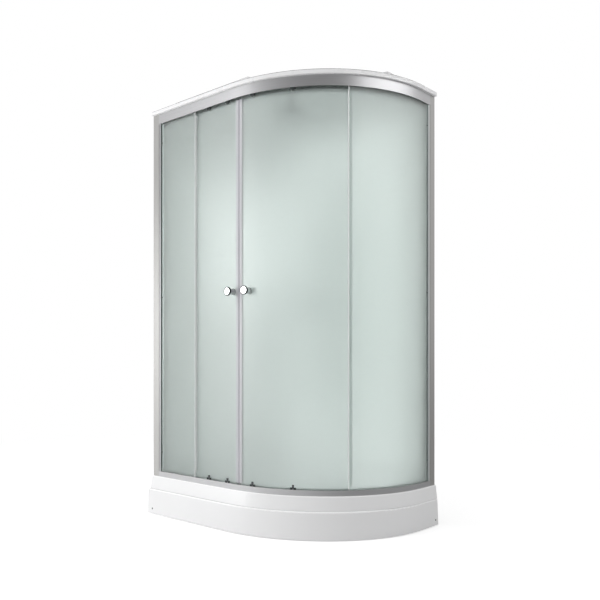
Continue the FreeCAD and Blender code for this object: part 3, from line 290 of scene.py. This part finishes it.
def paint_edge_light_and_shade(material, tone, low, high):
    """Paints a tone onto the rounded upper edges: painted shade where that tone is dark, a painted
    highlight where it is pale.

    low and high are the ranges of the upward slant in which that tone comes in and goes out."""
    tree = material.node_tree
    shader = next(node for node in tree.nodes if node.type == "BSDF_PRINCIPLED")
    plain = shader.inputs["Base Color"].links[0].from_socket
    form = add(tree, "ShaderNodeNewGeometry")
    slant = add(tree, "ShaderNodeSeparateXYZ", Vector=form.outputs["True Normal"]).outputs["Z"]
    rising = ranged(tree, slant, low, (0.0, 1.0))
    falling = ranged(tree, slant, high, (1.0, 0.0))
    painted_edge = worked_out(tree, "MULTIPLY", rising, falling)
    mixed = add(tree, "ShaderNodeMix", {"data_type": "RGBA"}, Factor=painted_edge, A=plain, B=(*tone, 1))
    tree.links.new(mixed.outputs["Result"], shader.inputs["Base Color"])


def even(scale):
    return (scale, scale, scale)


SATIN = dict(rough=(0.34, 0.42), relief=3e-6, spread=0.6, Metallic=1.0)
UPRIGHT_SATIN = dict(SATIN, grain=(900, 900, 3), fine=(2600, 2600, 5))
VINYL = dict(grain=(200, 200, 6), fine=(500, 500, 20))
RUBBER = dict(grain=even(90), rough=(0.55, 0.7), relief=2e-5, fine=even(900))
CHROME = dict(grain=even(60), relief=2e-6, fine=even(700), Metallic=1.0)
LOOKS = {
    "tray_acrylic": dict(
        tone=(0.86, 0.86, 0.865), shade=(0.85, 0.85, 0.856), grain=even(7), rough=(0.23, 0.26),
        relief=4e-5, fine=even(55), Coat_Weight=0.12, Coat_Roughness=0.12),
    "roof_acrylic": dict(
        tone=(0.84, 0.84, 0.845), shade=(0.81, 0.81, 0.815), grain=even(6), rough=(0.24, 0.32),
        relief=2e-5, fine=even(70)),
    "wall_acrylic": dict(
        tone=(0.83, 0.84, 0.84), shade=(0.80, 0.81, 0.81), grain=even(5), rough=(0.16, 0.22),
        relief=4e-5, fine=even(40)),
    "rail_aluminium": dict(
        SATIN, tone=(0.62, 0.62, 0.63), shade=(0.54, 0.54, 0.55), grain=(4, 4, 900),
        fine=(6, 6, 2600)),
    "upright_aluminium": dict(UPRIGHT_SATIN, tone=(0.60, 0.60, 0.61), shade=(0.52, 0.52, 0.53)),
    "wall_aluminium": dict(UPRIGHT_SATIN, tone=(0.57, 0.565, 0.555), shade=(0.49, 0.485, 0.475)),
    # Painted highlight: a brighter copy of the profile aluminium, for the right glazing profile.
    "bright_aluminium": dict(UPRIGHT_SATIN, tone=(0.88, 0.89, 0.89), shade=(0.80, 0.81, 0.81)),
    "frosted_glass": dict(
        tone=(0.89, 0.955, 0.93), shade=(0.86, 0.93, 0.90), grain=even(160), rough=(0.40, 0.48),
        relief=6e-6, fine=even(1400), spread=0.6, IOR=1.5, Transmission_Weight=0.96),
    "clear_seal": dict(
        VINYL, tone=(0.88, 0.885, 0.91), shade=(0.82, 0.825, 0.85), rough=(0.28, 0.38), relief=2e-5,
        IOR=1.45, Transmission_Weight=0.5),
    "soft_vinyl": dict(
        VINYL, tone=(0.96, 0.965, 0.975), shade=(0.91, 0.915, 0.925), rough=(0.28, 0.38),
        relief=2e-5, Subsurface_Weight=0.8, Subsurface_Radius=even(0.03), Subsurface_Scale=1.0),
    "thin_vinyl": dict(
        VINYL, tone=(0.94, 0.955, 0.96), shade=(0.90, 0.915, 0.92), rough=(0.25, 0.35), relief=1e-5,
        IOR=1.1, Transmission_Weight=0.9),
    "magnet_strip": dict(
        tone=(0.56, 0.545, 0.59), shade=(0.48, 0.465, 0.51), grain=(160, 160, 8),
        rough=(0.45, 0.55), relief=2e-5, fine=even(600)),
    "gasket_rubber": dict(RUBBER, tone=(0.07, 0.11, 0.10), shade=(0.045, 0.08, 0.07)),
    # Painted light: a paler copy of the gasket rubber that lifts the right gasket out of the shade
    # of its recess.
    "grey_gasket": dict(RUBBER, tone=(0.42, 0.49, 0.49), shade=(0.36, 0.43, 0.43)),
    "polished_chrome": dict(
        CHROME, tone=(0.82, 0.82, 0.83), shade=(0.78, 0.78, 0.80), rough=(0.05, 0.10)),
    # Painted dark reflection: a near-black copy of the knob chrome, for the rims of the outer
    # knobs.
    "knob_chrome": dict(
        CHROME, tone=(0.075, 0.08, 0.08), shade=(0.055, 0.06, 0.06), rough=(0.07, 0.12)),
    "stem_chrome": dict(
        CHROME, tone=(0.58, 0.60, 0.60), shade=(0.50, 0.52, 0.52), rough=(0.10, 0.16)),
    # Painted highlight: a bright copy of the knob chrome, for the outward face of the outer knobs.
    "knob_face": dict(
        CHROME, tone=(0.92, 0.92, 0.93), shade=(0.88, 0.88, 0.89), rough=(0.18, 0.24)),
    # Painted shade: the rain head's chrome is darkened so that it shows as a dark blur through the
    # frosted glass.
    "head_chrome": dict(
        CHROME, tone=(0.20, 0.20, 0.21), shade=(0.15, 0.15, 0.16), rough=(0.2, 0.3)),
    "dark_plastic": dict(
        tone=(0.062, 0.072, 0.070), shade=(0.045, 0.053, 0.051), grain=even(120), rough=(0.4, 0.52),
        relief=3e-5, fine=even(1500)),
    "release_plastic": dict(
        tone=(0.085, 0.09, 0.095), shade=(0.06, 0.065, 0.07), grain=even(140), rough=(0.38, 0.5),
        relief=3e-5, fine=even(1500)),
    "wheel_nylon": dict(
        tone=(0.78, 0.78, 0.75), shade=(0.70, 0.70, 0.66), grain=even(150), rough=(0.35, 0.48),
        relief=2e-5, fine=even(900)),
    "zinc_steel": dict(
        tone=(0.60, 0.61, 0.62), shade=(0.42, 0.43, 0.45), grain=even(45), rough=(0.34, 0.5),
        relief=1e-5, fine=even(500), spread=0.7, Metallic=1.0),
    "screw_steel": dict(
        tone=(0.24, 0.245, 0.25), shade=(0.16, 0.165, 0.17), grain=even(300), rough=(0.25, 0.38),
        relief=6e-6, fine=even(1800), Metallic=1.0),
    "brass_nut": dict(
        tone=(0.70, 0.54, 0.26), shade=(0.55, 0.41, 0.18), grain=even(120), rough=(0.25, 0.4),
        relief=8e-6, fine=even(900), Metallic=1.0),
    "foot_rubber": dict(
        tone=(0.035, 0.035, 0.036), shade=(0.022, 0.022, 0.023), grain=even(70), rough=(0.6, 0.75),
        relief=5e-5, fine=even(700)),
    "drain_plastic": dict(
        tone=(0.50, 0.51, 0.52), shade=(0.44, 0.45, 0.46), grain=even(60), rough=(0.38, 0.5),
        relief=4e-5, fine=even(900)),
}
finishes = {name: finish(name, **look) for name, look in LOOKS.items()}
finishes["satin_aluminium"] = finishes["upright_aluminium"]  # slot of the plain profiles
# Painted shade: a dark grey line on the rounded upper edges of the roof.
paint_edge_light_and_shade(finishes["roof_acrylic"], (0.18, 0.18, 0.185), (0.40, 0.62), (0.965, 0.995))
# Painted highlight: a pale line on the rounded upper edges of the tray and its apron's ledge.
paint_edge_light_and_shade(finishes["tray_acrylic"], (0.97, 0.97, 0.975), (0.20, 0.50), (0.97, 1.0))
OWN_FINISH = {
    "top_rail": "rail_aluminium",
    "bottom_rail": "rail_aluminium",
    "left_wall_profile": "wall_aluminium",
    "right_wall_profile": "wall_aluminium",
    # painted highlight on the right glazing profile
    "right_glazing_profile": "bright_aluminium",
    # painted light on the right gasket
    "right_gasket": "grey_gasket",
    "left_fixed_seal": "soft_vinyl",
    "right_fixed_seal": "soft_vinyl",
    "left_tail_seal": "thin_vinyl",
    "right_tail_seal": "thin_vinyl",
    # painted shade on the rain head
    "rain_head": "head_chrome",
}


def dress_nodes():
    """Each solid of the frame gets its own finish or that of its slot."""
    for part in frame["record"]["subparts"]:
        name = part["node"]
        mesh = nodes[name].data
        mesh.materials.clear()
        mesh.materials.append(finishes[OWN_FINISH.get(name, part["material_slot"])])


# Pieces made of repeats
GEOMETRY, FLOAT, INT = "NodeSocketGeometry", "NodeSocketFloat", "NodeSocketInt"
VECTOR = "NodeSocketVector"


def new_tree(name, sizes):
    """Empty tree with a named input for each size. Returns the tree and its inputs."""
    tree = bpy.data.node_groups.new(name, "GeometryNodeTree")
    tree.interface.new_socket("Spots", in_out="INPUT", socket_type=GEOMETRY)
    for label, kind in sizes:
        tree.interface.new_socket(label, in_out="INPUT", socket_type=kind)
    tree.interface.new_socket("Piece", in_out="OUTPUT", socket_type=GEOMETRY)
    return tree, tree.nodes.new("NodeGroupInput").outputs


def end_tree(tree, shape, material):
    """Realizes the repeats and gives them their finish."""
    real = add(tree, "GeometryNodeRealizeInstances", Geometry=shape)
    dressed = add(tree, "GeometryNodeSetMaterial", Geometry=real.outputs[0], Material=material)
    tree.links.new(dressed.outputs[0], tree.nodes.new("NodeGroupOutput").inputs[0])


def scaled(tree, value, share):
    return worked_out(tree, "MULTIPLY", value, share)


def moved(tree, shape, z):
    place = add(tree, "ShaderNodeCombineXYZ", Z=z).outputs[0]
    return add(tree, "GeometryNodeTransform", Geometry=shape, Translation=place).outputs[0]


def block(tree, x, y, z):
    size = add(tree, "ShaderNodeCombineXYZ", X=x, Y=y, Z=z)
    return add(tree, "GeometryNodeMeshCube", Size=size.outputs[0]).outputs["Mesh"]


def cut_out(tree, shape, tool):
    """The shape less the tool."""
    cut = add(tree, "GeometryNodeMeshBoolean", {"operation": "DIFFERENCE", "solver": "EXACT"})
    tree.links.new(shape, cut.inputs["Mesh 1"])
    tree.links.new(tool, cut.inputs["Mesh 2"])
    return cut.outputs["Mesh"]


def on_spots(tree, spots, shape):
    """One copy of the shape on each spot, its z along the spot's facing, its x along the run."""
    facing, run = (
        add(tree, "GeometryNodeInputNamedAttribute", {"data_type": "FLOAT_VECTOR"}, Name=label)
        .outputs["Attribute"] for label in ("facing", "run"))
    first = add(tree, "FunctionNodeAlignRotationToVector", {"axis": "X"}, Vector=run)
    turn = add(tree, "FunctionNodeAlignRotationToVector", {"axis": "Z", "pivot_axis": "X"},
               Rotation=first.outputs[0], Vector=facing)
    copies = add(tree, "GeometryNodeInstanceOnPoints", Points=spots, Instance=shape,
                 Rotation=turn.outputs[0])
    return copies.outputs[0]


HEAD_SIDES, SHANK_SIDES = 28, 12
HEAD_TOP, SHANK_THICK = 0.74, 0.48  # shares of the head's radius
CROSS_LENGTH, CROSS_WIDTH = 1.06, 0.25  # shares of the head's radius
CROSS_DEPTH = 1.3  # share of the head's height


def screw_tree(material):
    """Pan head with a cross recess on a plain shank."""
    tree, given = new_tree("cross_screw", [("Head Radius", FLOAT), ("Head Height", FLOAT),
                                           ("Shank Length", FLOAT)])
    radius, height, length = given["Head Radius"], given["Head Height"], given["Shank Length"]
    head = add(tree, "GeometryNodeMeshCone", Vertices=HEAD_SIDES, Radius_Bottom=radius,
               Radius_Top=scaled(tree, radius, HEAD_TOP), Depth=height)
    arm, slim = scaled(tree, radius, CROSS_LENGTH), scaled(tree, radius, CROSS_WIDTH)
    tall = scaled(tree, height, CROSS_DEPTH)
    cross = add(tree, "GeometryNodeMeshBoolean", {"operation": "UNION", "solver": "EXACT"})
    tree.links.new(block(tree, arm, slim, tall), cross.inputs["Mesh"])
    tree.links.new(block(tree, slim, arm, tall), cross.inputs["Mesh"])
    recessed = cut_out(tree, head.outputs["Mesh"], moved(tree, cross.outputs["Mesh"], height))
    shank = add(tree, "GeometryNodeMeshCylinder", Vertices=SHANK_SIDES,
                Radius=scaled(tree, radius, SHANK_THICK), Depth=length)
    both = add(tree, "GeometryNodeJoinGeometry")
    tree.links.new(recessed, both.inputs[0])
    tree.links.new(moved(tree, shank.outputs["Mesh"], scaled(tree, length, -0.5)), both.inputs[0])
    end_tree(tree, on_spots(tree, given["Spots"], both.outputs[0]), material)
    return tree


def nub_tree(name, material):
    """Low round nub with a sloped side."""
    tree, given = new_tree(name, [("Foot Radius", FLOAT), ("Top Radius", FLOAT), ("Height", FLOAT),
                                  ("Sides", INT)])
    nub = add(tree, "GeometryNodeMeshCone", Vertices=given["Sides"],
              Radius_Bottom=given["Foot Radius"], Radius_Top=given["Top Radius"],
              Depth=given["Height"])
    end_tree(tree, on_spots(tree, given["Spots"], nub.outputs["Mesh"]), material)
    return tree


def rib_tree(name, material):
    """Straight rib, half sunk in what carries it."""
    tree, given = new_tree(name, [("Length", FLOAT), ("Width", FLOAT), ("Height", FLOAT)])
    rib = block(tree, given["Length"], given["Width"], scaled(tree, given["Height"], 2.0))
    end_tree(tree, on_spots(tree, given["Spots"], rib), material)
    return tree


THREAD_STEPS, WIRE_SIDES = 16, 4


def thread_tree(name, material):
    """Screw thread wound on a rod."""
    tree, given = new_tree(name, [("Radius", FLOAT), ("Length", FLOAT), ("Turns", FLOAT),
                                  ("Wire", FLOAT)])
    line = add(tree, "GeometryNodeCurveSpiral", Resolution=THREAD_STEPS, Rotations=given["Turns"],
               Start_Radius=given["Radius"], End_Radius=given["Radius"], Height=given["Length"])
    wire = add(tree, "GeometryNodeCurvePrimitiveCircle", Resolution=WIRE_SIDES,
               Radius=given["Wire"])
    wound = add(tree, "GeometryNodeCurveToMesh", Curve=line.outputs[0],
                Profile_Curve=wire.outputs[0], Fill_Caps=True)
    end_tree(tree, on_spots(tree, given["Spots"], wound.outputs[0]), material)
    return tree


def slot_tree(name, material):
    """Ring of straight slots cut through a disc."""
    tree, given = new_tree(name, [("Slots", INT), ("Ring Radius", FLOAT), ("Length", FLOAT),
                                  ("Width", FLOAT), ("Level", FLOAT), ("Depth", FLOAT),
                                  ("Centre", VECTOR)])
    ring = add(tree, "GeometryNodeMeshCircle", Vertices=given["Slots"], Radius=given["Ring Radius"])
    place = add(tree, "GeometryNodeInputPosition")
    turn = add(tree, "FunctionNodeAlignRotationToVector", {"axis": "X", "pivot_axis": "Z"},
               Vector=place.outputs[0])
    tool = block(tree, given["Length"], given["Width"], given["Depth"])
    tools = add(tree, "GeometryNodeInstanceOnPoints", Points=ring.outputs[0], Instance=tool,
                Rotation=turn.outputs[0])
    real = add(tree, "GeometryNodeRealizeInstances", Geometry=tools.outputs[0])
    laid = add(tree, "GeometryNodeTransform", Geometry=real.outputs[0], Translation=given["Centre"])
    slotted = cut_out(tree, given["Spots"], moved(tree, laid.outputs[0], given["Level"]))
    end_tree(tree, slotted, material)
    return tree


STEEP = 0.9  # a facing that rises or falls more than this counts as upright


def spots_mesh(name, spots):
    """Mesh of loose points, each with its facing and the run across it."""
    mesh = bpy.data.meshes.new(name)
    mesh.from_pydata([place for place, facing in spots], [], [])
    for label in ("facing", "run"):
        mesh.attributes.new(label, "FLOAT_VECTOR", "POINT")
    for i, (place, facing) in enumerate(spots):
        facing = facing.normalized()
        mesh.attributes["facing"].data[i].vector = facing
        mesh.attributes["run"].data[i].vector = UP if abs(facing.z) < STEEP else RIGHT
    return mesh


def grow(name, tree, mesh, **sizes):
    """Runs a tree on a mesh and returns the plain mesh that it makes."""
    seed = bpy.data.objects.new(name, mesh)
    bpy.context.scene.collection.objects.link(seed)
    maker = seed.modifiers.new("grow", "NODES")
    maker.node_group = tree
    for item in tree.interface.items_tree:
        label = item.name.replace(" ", "_").lower()
        if item.in_out == "INPUT" and label in sizes:
            maker[item.identifier] = sizes[label]
    whole = seed.evaluated_get(bpy.context.evaluated_depsgraph_get())
    made = bpy.data.meshes.new_from_object(whole)
    bpy.data.objects.remove(seed)
    for label in ("facing", "run"):
        if label in made.attributes:
            made.attributes.remove(made.attributes[label])
    return made


def set_piece(name, mesh, body, slot, *stands_for):
    """Puts a finished mesh on its body, in place of the solids that it stands for."""
    mesh.name = name
    piece = bpy.data.objects.new(name, mesh)
    bpy.context.scene.collection.objects.link(piece)
    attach(piece, body)
    if stands_for:
        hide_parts(*stands_for)


# Screws
GLAZING_LEVELS = (0.315, 1.1075, 1.900)
WALL_FOOT, WALL_HEIGHT = 0.19, 1.86
CORNER_LEVELS = [WALL_FOOT + WALL_HEIGHT * share for share in (0.1, 0.5, 0.9)]
ROOF_LIP = 2.072
ROOF_PLACES = ((-0.584, -0.318), (-0.584, 0), (-0.584, 0.358), (0, 0.384), (0.538, 0.384))
SCREW_SETS = [
    # node, head radius, head height, shank length, and the seat and facing of each screw
    ("apron_screws", 0.0045, 0.002, 0.008,
     [((-0.564, -0.398, 0.028), FRONT), ((0.598, 0.376, 0.028), RIGHT)]),
    ("glazing_screws", 0.004, 0.0025, 0.006,
     [((-0.537, -0.3502, level), BACK) for level in GLAZING_LEVELS]
     + [((0.5702, 0.337, level), LEFT) for level in GLAZING_LEVELS]),
    ("corner_screws", 0.004, 0.0025, 0.006,
     [((-0.5635, 0.389, level), BACK) for level in CORNER_LEVELS]
     + [((-0.589, 0.3635, level), LEFT) for level in CORNER_LEVELS]),
    ("roof_screws", 0.005, 0.0025, 0.006, [((*place, ROOF_LIP), UP) for place in ROOF_PLACES]),
]


def make_screws():
    tree = screw_tree(finishes["screw_steel"])
    for node, radius, height, shank, spots in SCREW_SETS:
        mesh = grow(node, tree, spots_mesh(node, spots), head_radius=radius, head_height=height,
                    shank_length=shank)
        set_piece("cross_" + node, mesh, "cabin", "screw_steel", node)


# Turned pieces
SAME_POINT = 1e-6
SHARP_TURN = math.radians(40)
CORNER_ROOM = 0.45  # share of a run that the rounding of one of its ends may take


def turned(profile, foot, axis, steps=48):
    """Solid of revolution.

    The profile is radius and run along the axis from the foot, from tip to tip on the axis."""
    axis = axis.normalized()
    side = axis.orthogonal().normalized()
    form = bmesh.new()
    line = [form.verts.new(Vector(foot) + axis * run + side * radius) for radius, run in profile]
    edges = [form.edges.new(pair) for pair in zip(line, line[1:])]
    bmesh.ops.spin(form, geom=line + edges, cent=foot, axis=axis, angle=2 * math.pi, steps=steps,
                   use_merge=True)
    bmesh.ops.remove_doubles(form, verts=form.verts, dist=SAME_POINT)
    bmesh.ops.recalc_face_normals(form, faces=form.faces)
    return form


def soft_corner(before, corner, after, radius, steps=4):
    """Points of a rounded corner."""
    before, corner, after = Vector(before), Vector(corner), Vector(after)
    first = corner + (before - corner).normalized() * radius
    last = corner + (after - corner).normalized() * radius
    points = []
    for i in range(steps + 1):
        share = i / steps
        rest = 1 - share
        points.append(first * rest ** 2 + corner * 2 * share * rest + last * share ** 2)
    return [tuple(point) for point in points]


def eased(profile, radius):
    """The profile with its inner corners rounded, as far as the runs beside them allow."""
    points = [profile[0]]
    for before, corner, after in zip(profile, profile[1:], profile[2:]):
        room = CORNER_ROOM * min((Vector(corner) - Vector(before)).length,
                                 (Vector(after) - Vector(corner)).length)
        points += soft_corner(before, corner, after, min(radius, room))
    return points + [profile[-1]]


def to_mesh(name, forms, material):
    """Joins turned forms in one smooth mesh with sharp edges kept."""
    mesh = bpy.data.meshes.new(name)
    whole = bmesh.new()
    for form in forms:
        part = bpy.data.meshes.new(name + "_part")
        form.to_mesh(part)
        form.free()
        whole.from_mesh(part)
        bpy.data.meshes.remove(part)
    whole.to_mesh(mesh)
    whole.free()
    mesh.shade_smooth()
    mesh.set_sharp_from_angle(angle=SHARP_TURN)
    mesh.materials.append(material)
    return mesh


# Knobs
KNOB_LEVEL = 1.107
KNOB_RADIUS, KNOB_DISC, KNOB_REACH = 0.021, 0.011, 0.044
KNOB_FLARE, FLARE_DROP, FLARE_RISE = 0.004, 0.004, 0.003  # where the stem runs out into the disc
KNOB_BEVEL, BEVEL_DROP, KNOB_EASE = 0.0025, 0.002, 0.002
FACE_RADIUS, FACE_INSET = 0.0160, 0.0008
# The pale face is a painted highlight on the knob's front.
FACE_MARGIN, FACE_FLAT = 0.001, 0.9  # a pale face lies this far inside the rim and looks outwards
INNER_RADIUS, INNER_REACH = 0.016, 0.030
INNER_NECK, INNER_DISC = 0.013, 0.010  # below the tip of the inner knob
STEM, STEM_FOOT, FOOT_THICK = 0.0145, 0.016, 0.004
GLASS, SEAT_GAP = 0.005, 0.0003
LEFT_KNOB_X, LEFT_GLASS_Y = -0.045, -0.342
RIGHT_KNOB_ANGLE = math.radians(8.9)
# The rim's material carries a painted dark reflection and the face's a painted highlight.
RIM_PAINTED_DARK_REFLECTION, FACE_PAINTED_HIGHLIGHT = 1, 2  # places among the knob's finishes, after the stem's


def make_knobs():
    """A large knob outside and a smaller one inside, bolted through the glass of each door."""
    disc = KNOB_REACH - KNOB_DISC
    stem = [(0, 0), (STEM_FOOT, 0), (STEM_FOOT, FOOT_THICK), (STEM, FOOT_THICK)]
    outer = eased(stem + [(STEM, disc - FLARE_DROP), (KNOB_RADIUS - KNOB_FLARE, disc),
                          (KNOB_RADIUS, disc + FLARE_RISE), (KNOB_RADIUS, KNOB_REACH - BEVEL_DROP),
                          (KNOB_RADIUS - KNOB_BEVEL, KNOB_REACH), (FACE_RADIUS, KNOB_REACH)],
                  KNOB_EASE)
    outer += [(FACE_RADIUS, KNOB_REACH - FACE_INSET), (0, KNOB_REACH - FACE_INSET)]
    inner = eased(stem + [(STEM, INNER_REACH - INNER_NECK),
                          (INNER_RADIUS, INNER_REACH - INNER_DISC),
                          (INNER_RADIUS, INNER_REACH - BEVEL_DROP),
                          (INNER_RADIUS - KNOB_BEVEL, INNER_REACH), (0, INNER_REACH)], KNOB_EASE)
    away = Vector((math.sin(RIGHT_KNOB_ANGLE), -math.cos(RIGHT_KNOB_ANGLE), 0))
    seats = [("left", Vector((LEFT_KNOB_X, LEFT_GLASS_Y, KNOB_LEVEL)), FRONT),
             ("right", ROUND_CENTRE + away * (RAIL_RADIUS - DOOR_FACE) + UP * KNOB_LEVEL, away)]
    for door, seat, out in seats:
        back = seat - out * (GLASS + SEAT_GAP)
        forms = [turned(outer, seat + out * SEAT_GAP, out), turned(inner, back, -out)]
        node = door + "_door_knobs"
        mesh = to_mesh(node, forms, finishes["stem_chrome"])
        mesh.materials.append(finishes["knob_chrome"])
        mesh.materials.append(finishes["knob_face"])
        # Faces beyond the disc get the rim's painted dark reflection, and those inside the rim that
        # look outwards the painted highlight.
        for face in mesh.polygons:
            ahead = (face.center - seat).dot(out)
            beside = (face.center - seat - out * ahead).length
            if ahead > disc:
                pale = beside < FACE_RADIUS - FACE_MARGIN and face.normal.dot(out) > FACE_FLAT
                face.material_index = FACE_PAINTED_HIGHLIGHT if pale else RIM_PAINTED_DARK_REFLECTION
        set_piece(door + "_knob_pair", mesh, door + "_door", "polished_chrome", node)


# Fittings inside
HEAD_CENTRE, HEAD_FOOT = (0.080, -0.072), 1.975
NOZZLE_RINGS = ((1, 0), (8, 0.014), (14, 0.027), (20, 0.040))  # count and radius
NOZZLE = dict(foot_radius=0.0024, top_radius=0.0013, height=0.0025, sides=10)
DRAIN_CENTRE, BASIN_FLOOR = (0.3087, 0.14908), 0.090
COVER_RADIUS, COVER_HEIGHT, COVER_STEPS = 0.057, 0.003, 64
COVER_RIM, COVER_SLOPE, COVER_SHOULDER, COVER_EASE = 0.0012, 0.004, 0.0026, 0.001
SLOT_RINGS = ((20, 0.040, 0.016), (10, 0.019, 0.014))  # count, radius and length of the slots
SLOT_WIDTH, SLOT_DEPTH = 0.0042, 0.02
MIXER_AXIS_Y, MIXER_LEVEL = 0.336, 1.080


def ring_of(count, radius, centre, level):
    """Places on a level circle."""
    x, y = centre
    turns = [2 * math.pi * i / count for i in range(count)]
    return [(x + radius * math.cos(turn), y + radius * math.sin(turn), level) for turn in turns]


def make_nozzles():
    """Rubber nozzles in rings under the rain head."""
    spots = [(place, DOWN) for count, radius in NOZZLE_RINGS
             for place in ring_of(count, radius, HEAD_CENTRE, HEAD_FOOT)]
    mesh = grow("nozzles", nub_tree("nozzle", finishes["drain_plastic"]),
                spots_mesh("nozzles", spots), **NOZZLE)
    set_piece("rain_nozzles", mesh, "cabin", "drain_plastic")


def make_drain_cover():
    """Domed cover with two rings of slots."""
    x, y = DRAIN_CENTRE
    profile = eased([(0, 0), (COVER_RADIUS, 0), (COVER_RADIUS, COVER_RIM),
                     (COVER_RADIUS - COVER_SLOPE, COVER_SHOULDER), (0, COVER_HEIGHT)], COVER_EASE)
    mesh = to_mesh("drain_blank", [turned(profile, (x, y, BASIN_FLOOR), UP, COVER_STEPS)],
                   finishes["polished_chrome"])
    tree = slot_tree("drain_slots", finishes["polished_chrome"])
    for count, radius, length in SLOT_RINGS:
        mesh = grow("drain_cover", tree, mesh, slots=count, ring_radius=radius, length=length,
                    width=SLOT_WIDTH, level=BASIN_FLOOR, depth=SLOT_DEPTH, centre=(x, y, 0))
    set_piece("slotted_drain_cover", mesh, "cabin", "polished_chrome", "drain_cover")


# Floor of the tray
GRIP_PITCH, GRIP_EDGE, GRIP_CLEAR = 0.026, 0.165, 0.090
ROW_STEP = 0.866  # of the pitch, so that each dot has six neighbours at the same distance
GRIP_DOT = dict(foot_radius=0.0052, top_radius=0.0036, height=0.0009, sides=12)


def inward(x, y):
    """How far a plan point lies inside the face of the rails."""
    reach = (Vector((x, y, 0)) - ROUND_CENTRE).to_2d()
    if reach.x > 0 and reach.y < 0:
        return RAIL_RADIUS - reach.length
    return min(RAIL_RADIUS + reach.y, RAIL_RADIUS - reach.x)


def make_grip_dots():
    """Low dots on the floor of the tray, clear of its sides and the drain."""
    spots = []
    rows = int(2 * HALF_LENGTH / GRIP_PITCH)
    for i in range(rows):
        for j in range(rows):
            x = -HALF_LENGTH + GRIP_PITCH * (i + 0.5 * (j % 2))
            y = -HALF_DEPTH + GRIP_PITCH * ROW_STEP * j
            beside_wall = x < -HALF_LENGTH + GRIP_EDGE or y > HALF_DEPTH - GRIP_EDGE
            if beside_wall or inward(x, y) < GRIP_EDGE:
                continue
            if math.dist((x, y), DRAIN_CENTRE) > GRIP_CLEAR:
                spots.append(((x, y, BASIN_FLOOR), UP))
    mesh = grow("grip_dots", nub_tree("grip_dot", finishes["tray_acrylic"]),
                spots_mesh("grip_dots", spots), **GRIP_DOT)
    set_piece("tray_grip_dots", mesh, "cabin", "tray_acrylic")


# Threads and ribs
STUD_PLACES = [(-0.5275, -0.3275), (-0.5275, 0.3275), (0.1375, -0.3275), (0.1375, 0.3275),
               (0.5075, 0.3275), (0.5075, 0.0305)]
STUD_FOOT = 0.011
STUD_THREAD = dict(radius=0.006, length=0.047, turns=24, wire=0.0006)
SUPPLIES, SUPPLY_FOOT = (-0.255, -0.105), 0.3875
INLET_FOOT = 2.121
PIPE_THREAD = dict(radius=0.0104, length=0.0115, turns=6, wire=0.0005)
DIVERTER_MIDDLE, HANDLE_RADIUS = -0.2944, 0.020
RIB_COUNT, RIB = 18, dict(length=0.026, width=0.0028, height=0.0011)


def make_threads():
    """Threads on the feet, on the supplies behind the wall and on the inlet of the rain head."""
    feet = [((*place, STUD_FOOT), UP) for place in STUD_PLACES]
    mesh = grow("foot_threads", thread_tree("foot_thread", finishes["zinc_steel"]),
                spots_mesh("foot_threads", feet), **STUD_THREAD)
    set_piece("foot_stud_threads", mesh, "cabin", "zinc_steel")
    pipes = [((x, SUPPLY_FOOT, MIXER_LEVEL), BACK) for x in SUPPLIES]
    pipes.append(((*HEAD_CENTRE, INLET_FOOT), UP))
    mesh = grow("pipe_threads", thread_tree("pipe_thread", finishes["polished_chrome"]),
                spots_mesh("pipe_threads", pipes), **PIPE_THREAD)
    set_piece("pipe_threads", mesh, "cabin", "polished_chrome")


def make_diverter_ribs():
    """Finger ribs round the diverter knob."""
    middle = Vector((DIVERTER_MIDDLE, MIXER_AXIS_Y, MIXER_LEVEL))
    spots = []
    for i in range(RIB_COUNT):
        turn = 2 * math.pi * i / RIB_COUNT
        out = Vector((0, math.cos(turn), math.sin(turn)))
        spots.append((middle + out * HANDLE_RADIUS, out))
    mesh = spots_mesh("diverter_ribs", spots)
    for item in mesh.attributes["run"].data:
        item.vector = RIGHT
    mesh = grow("diverter_ribs", rib_tree("diverter_rib", finishes["polished_chrome"]), mesh, **RIB)
    set_piece("diverter_ribs", mesh, "diverter_knob", "polished_chrome")


set_camera()
set_world()
set_floor()
set_lamps()
dress_nodes()
make_screws()
make_knobs()
make_nozzles()
make_drain_cover()
make_grip_dots()
make_threads()
make_diverter_ribs()

bpy.context.scene.view_settings.view_transform = "Standard"
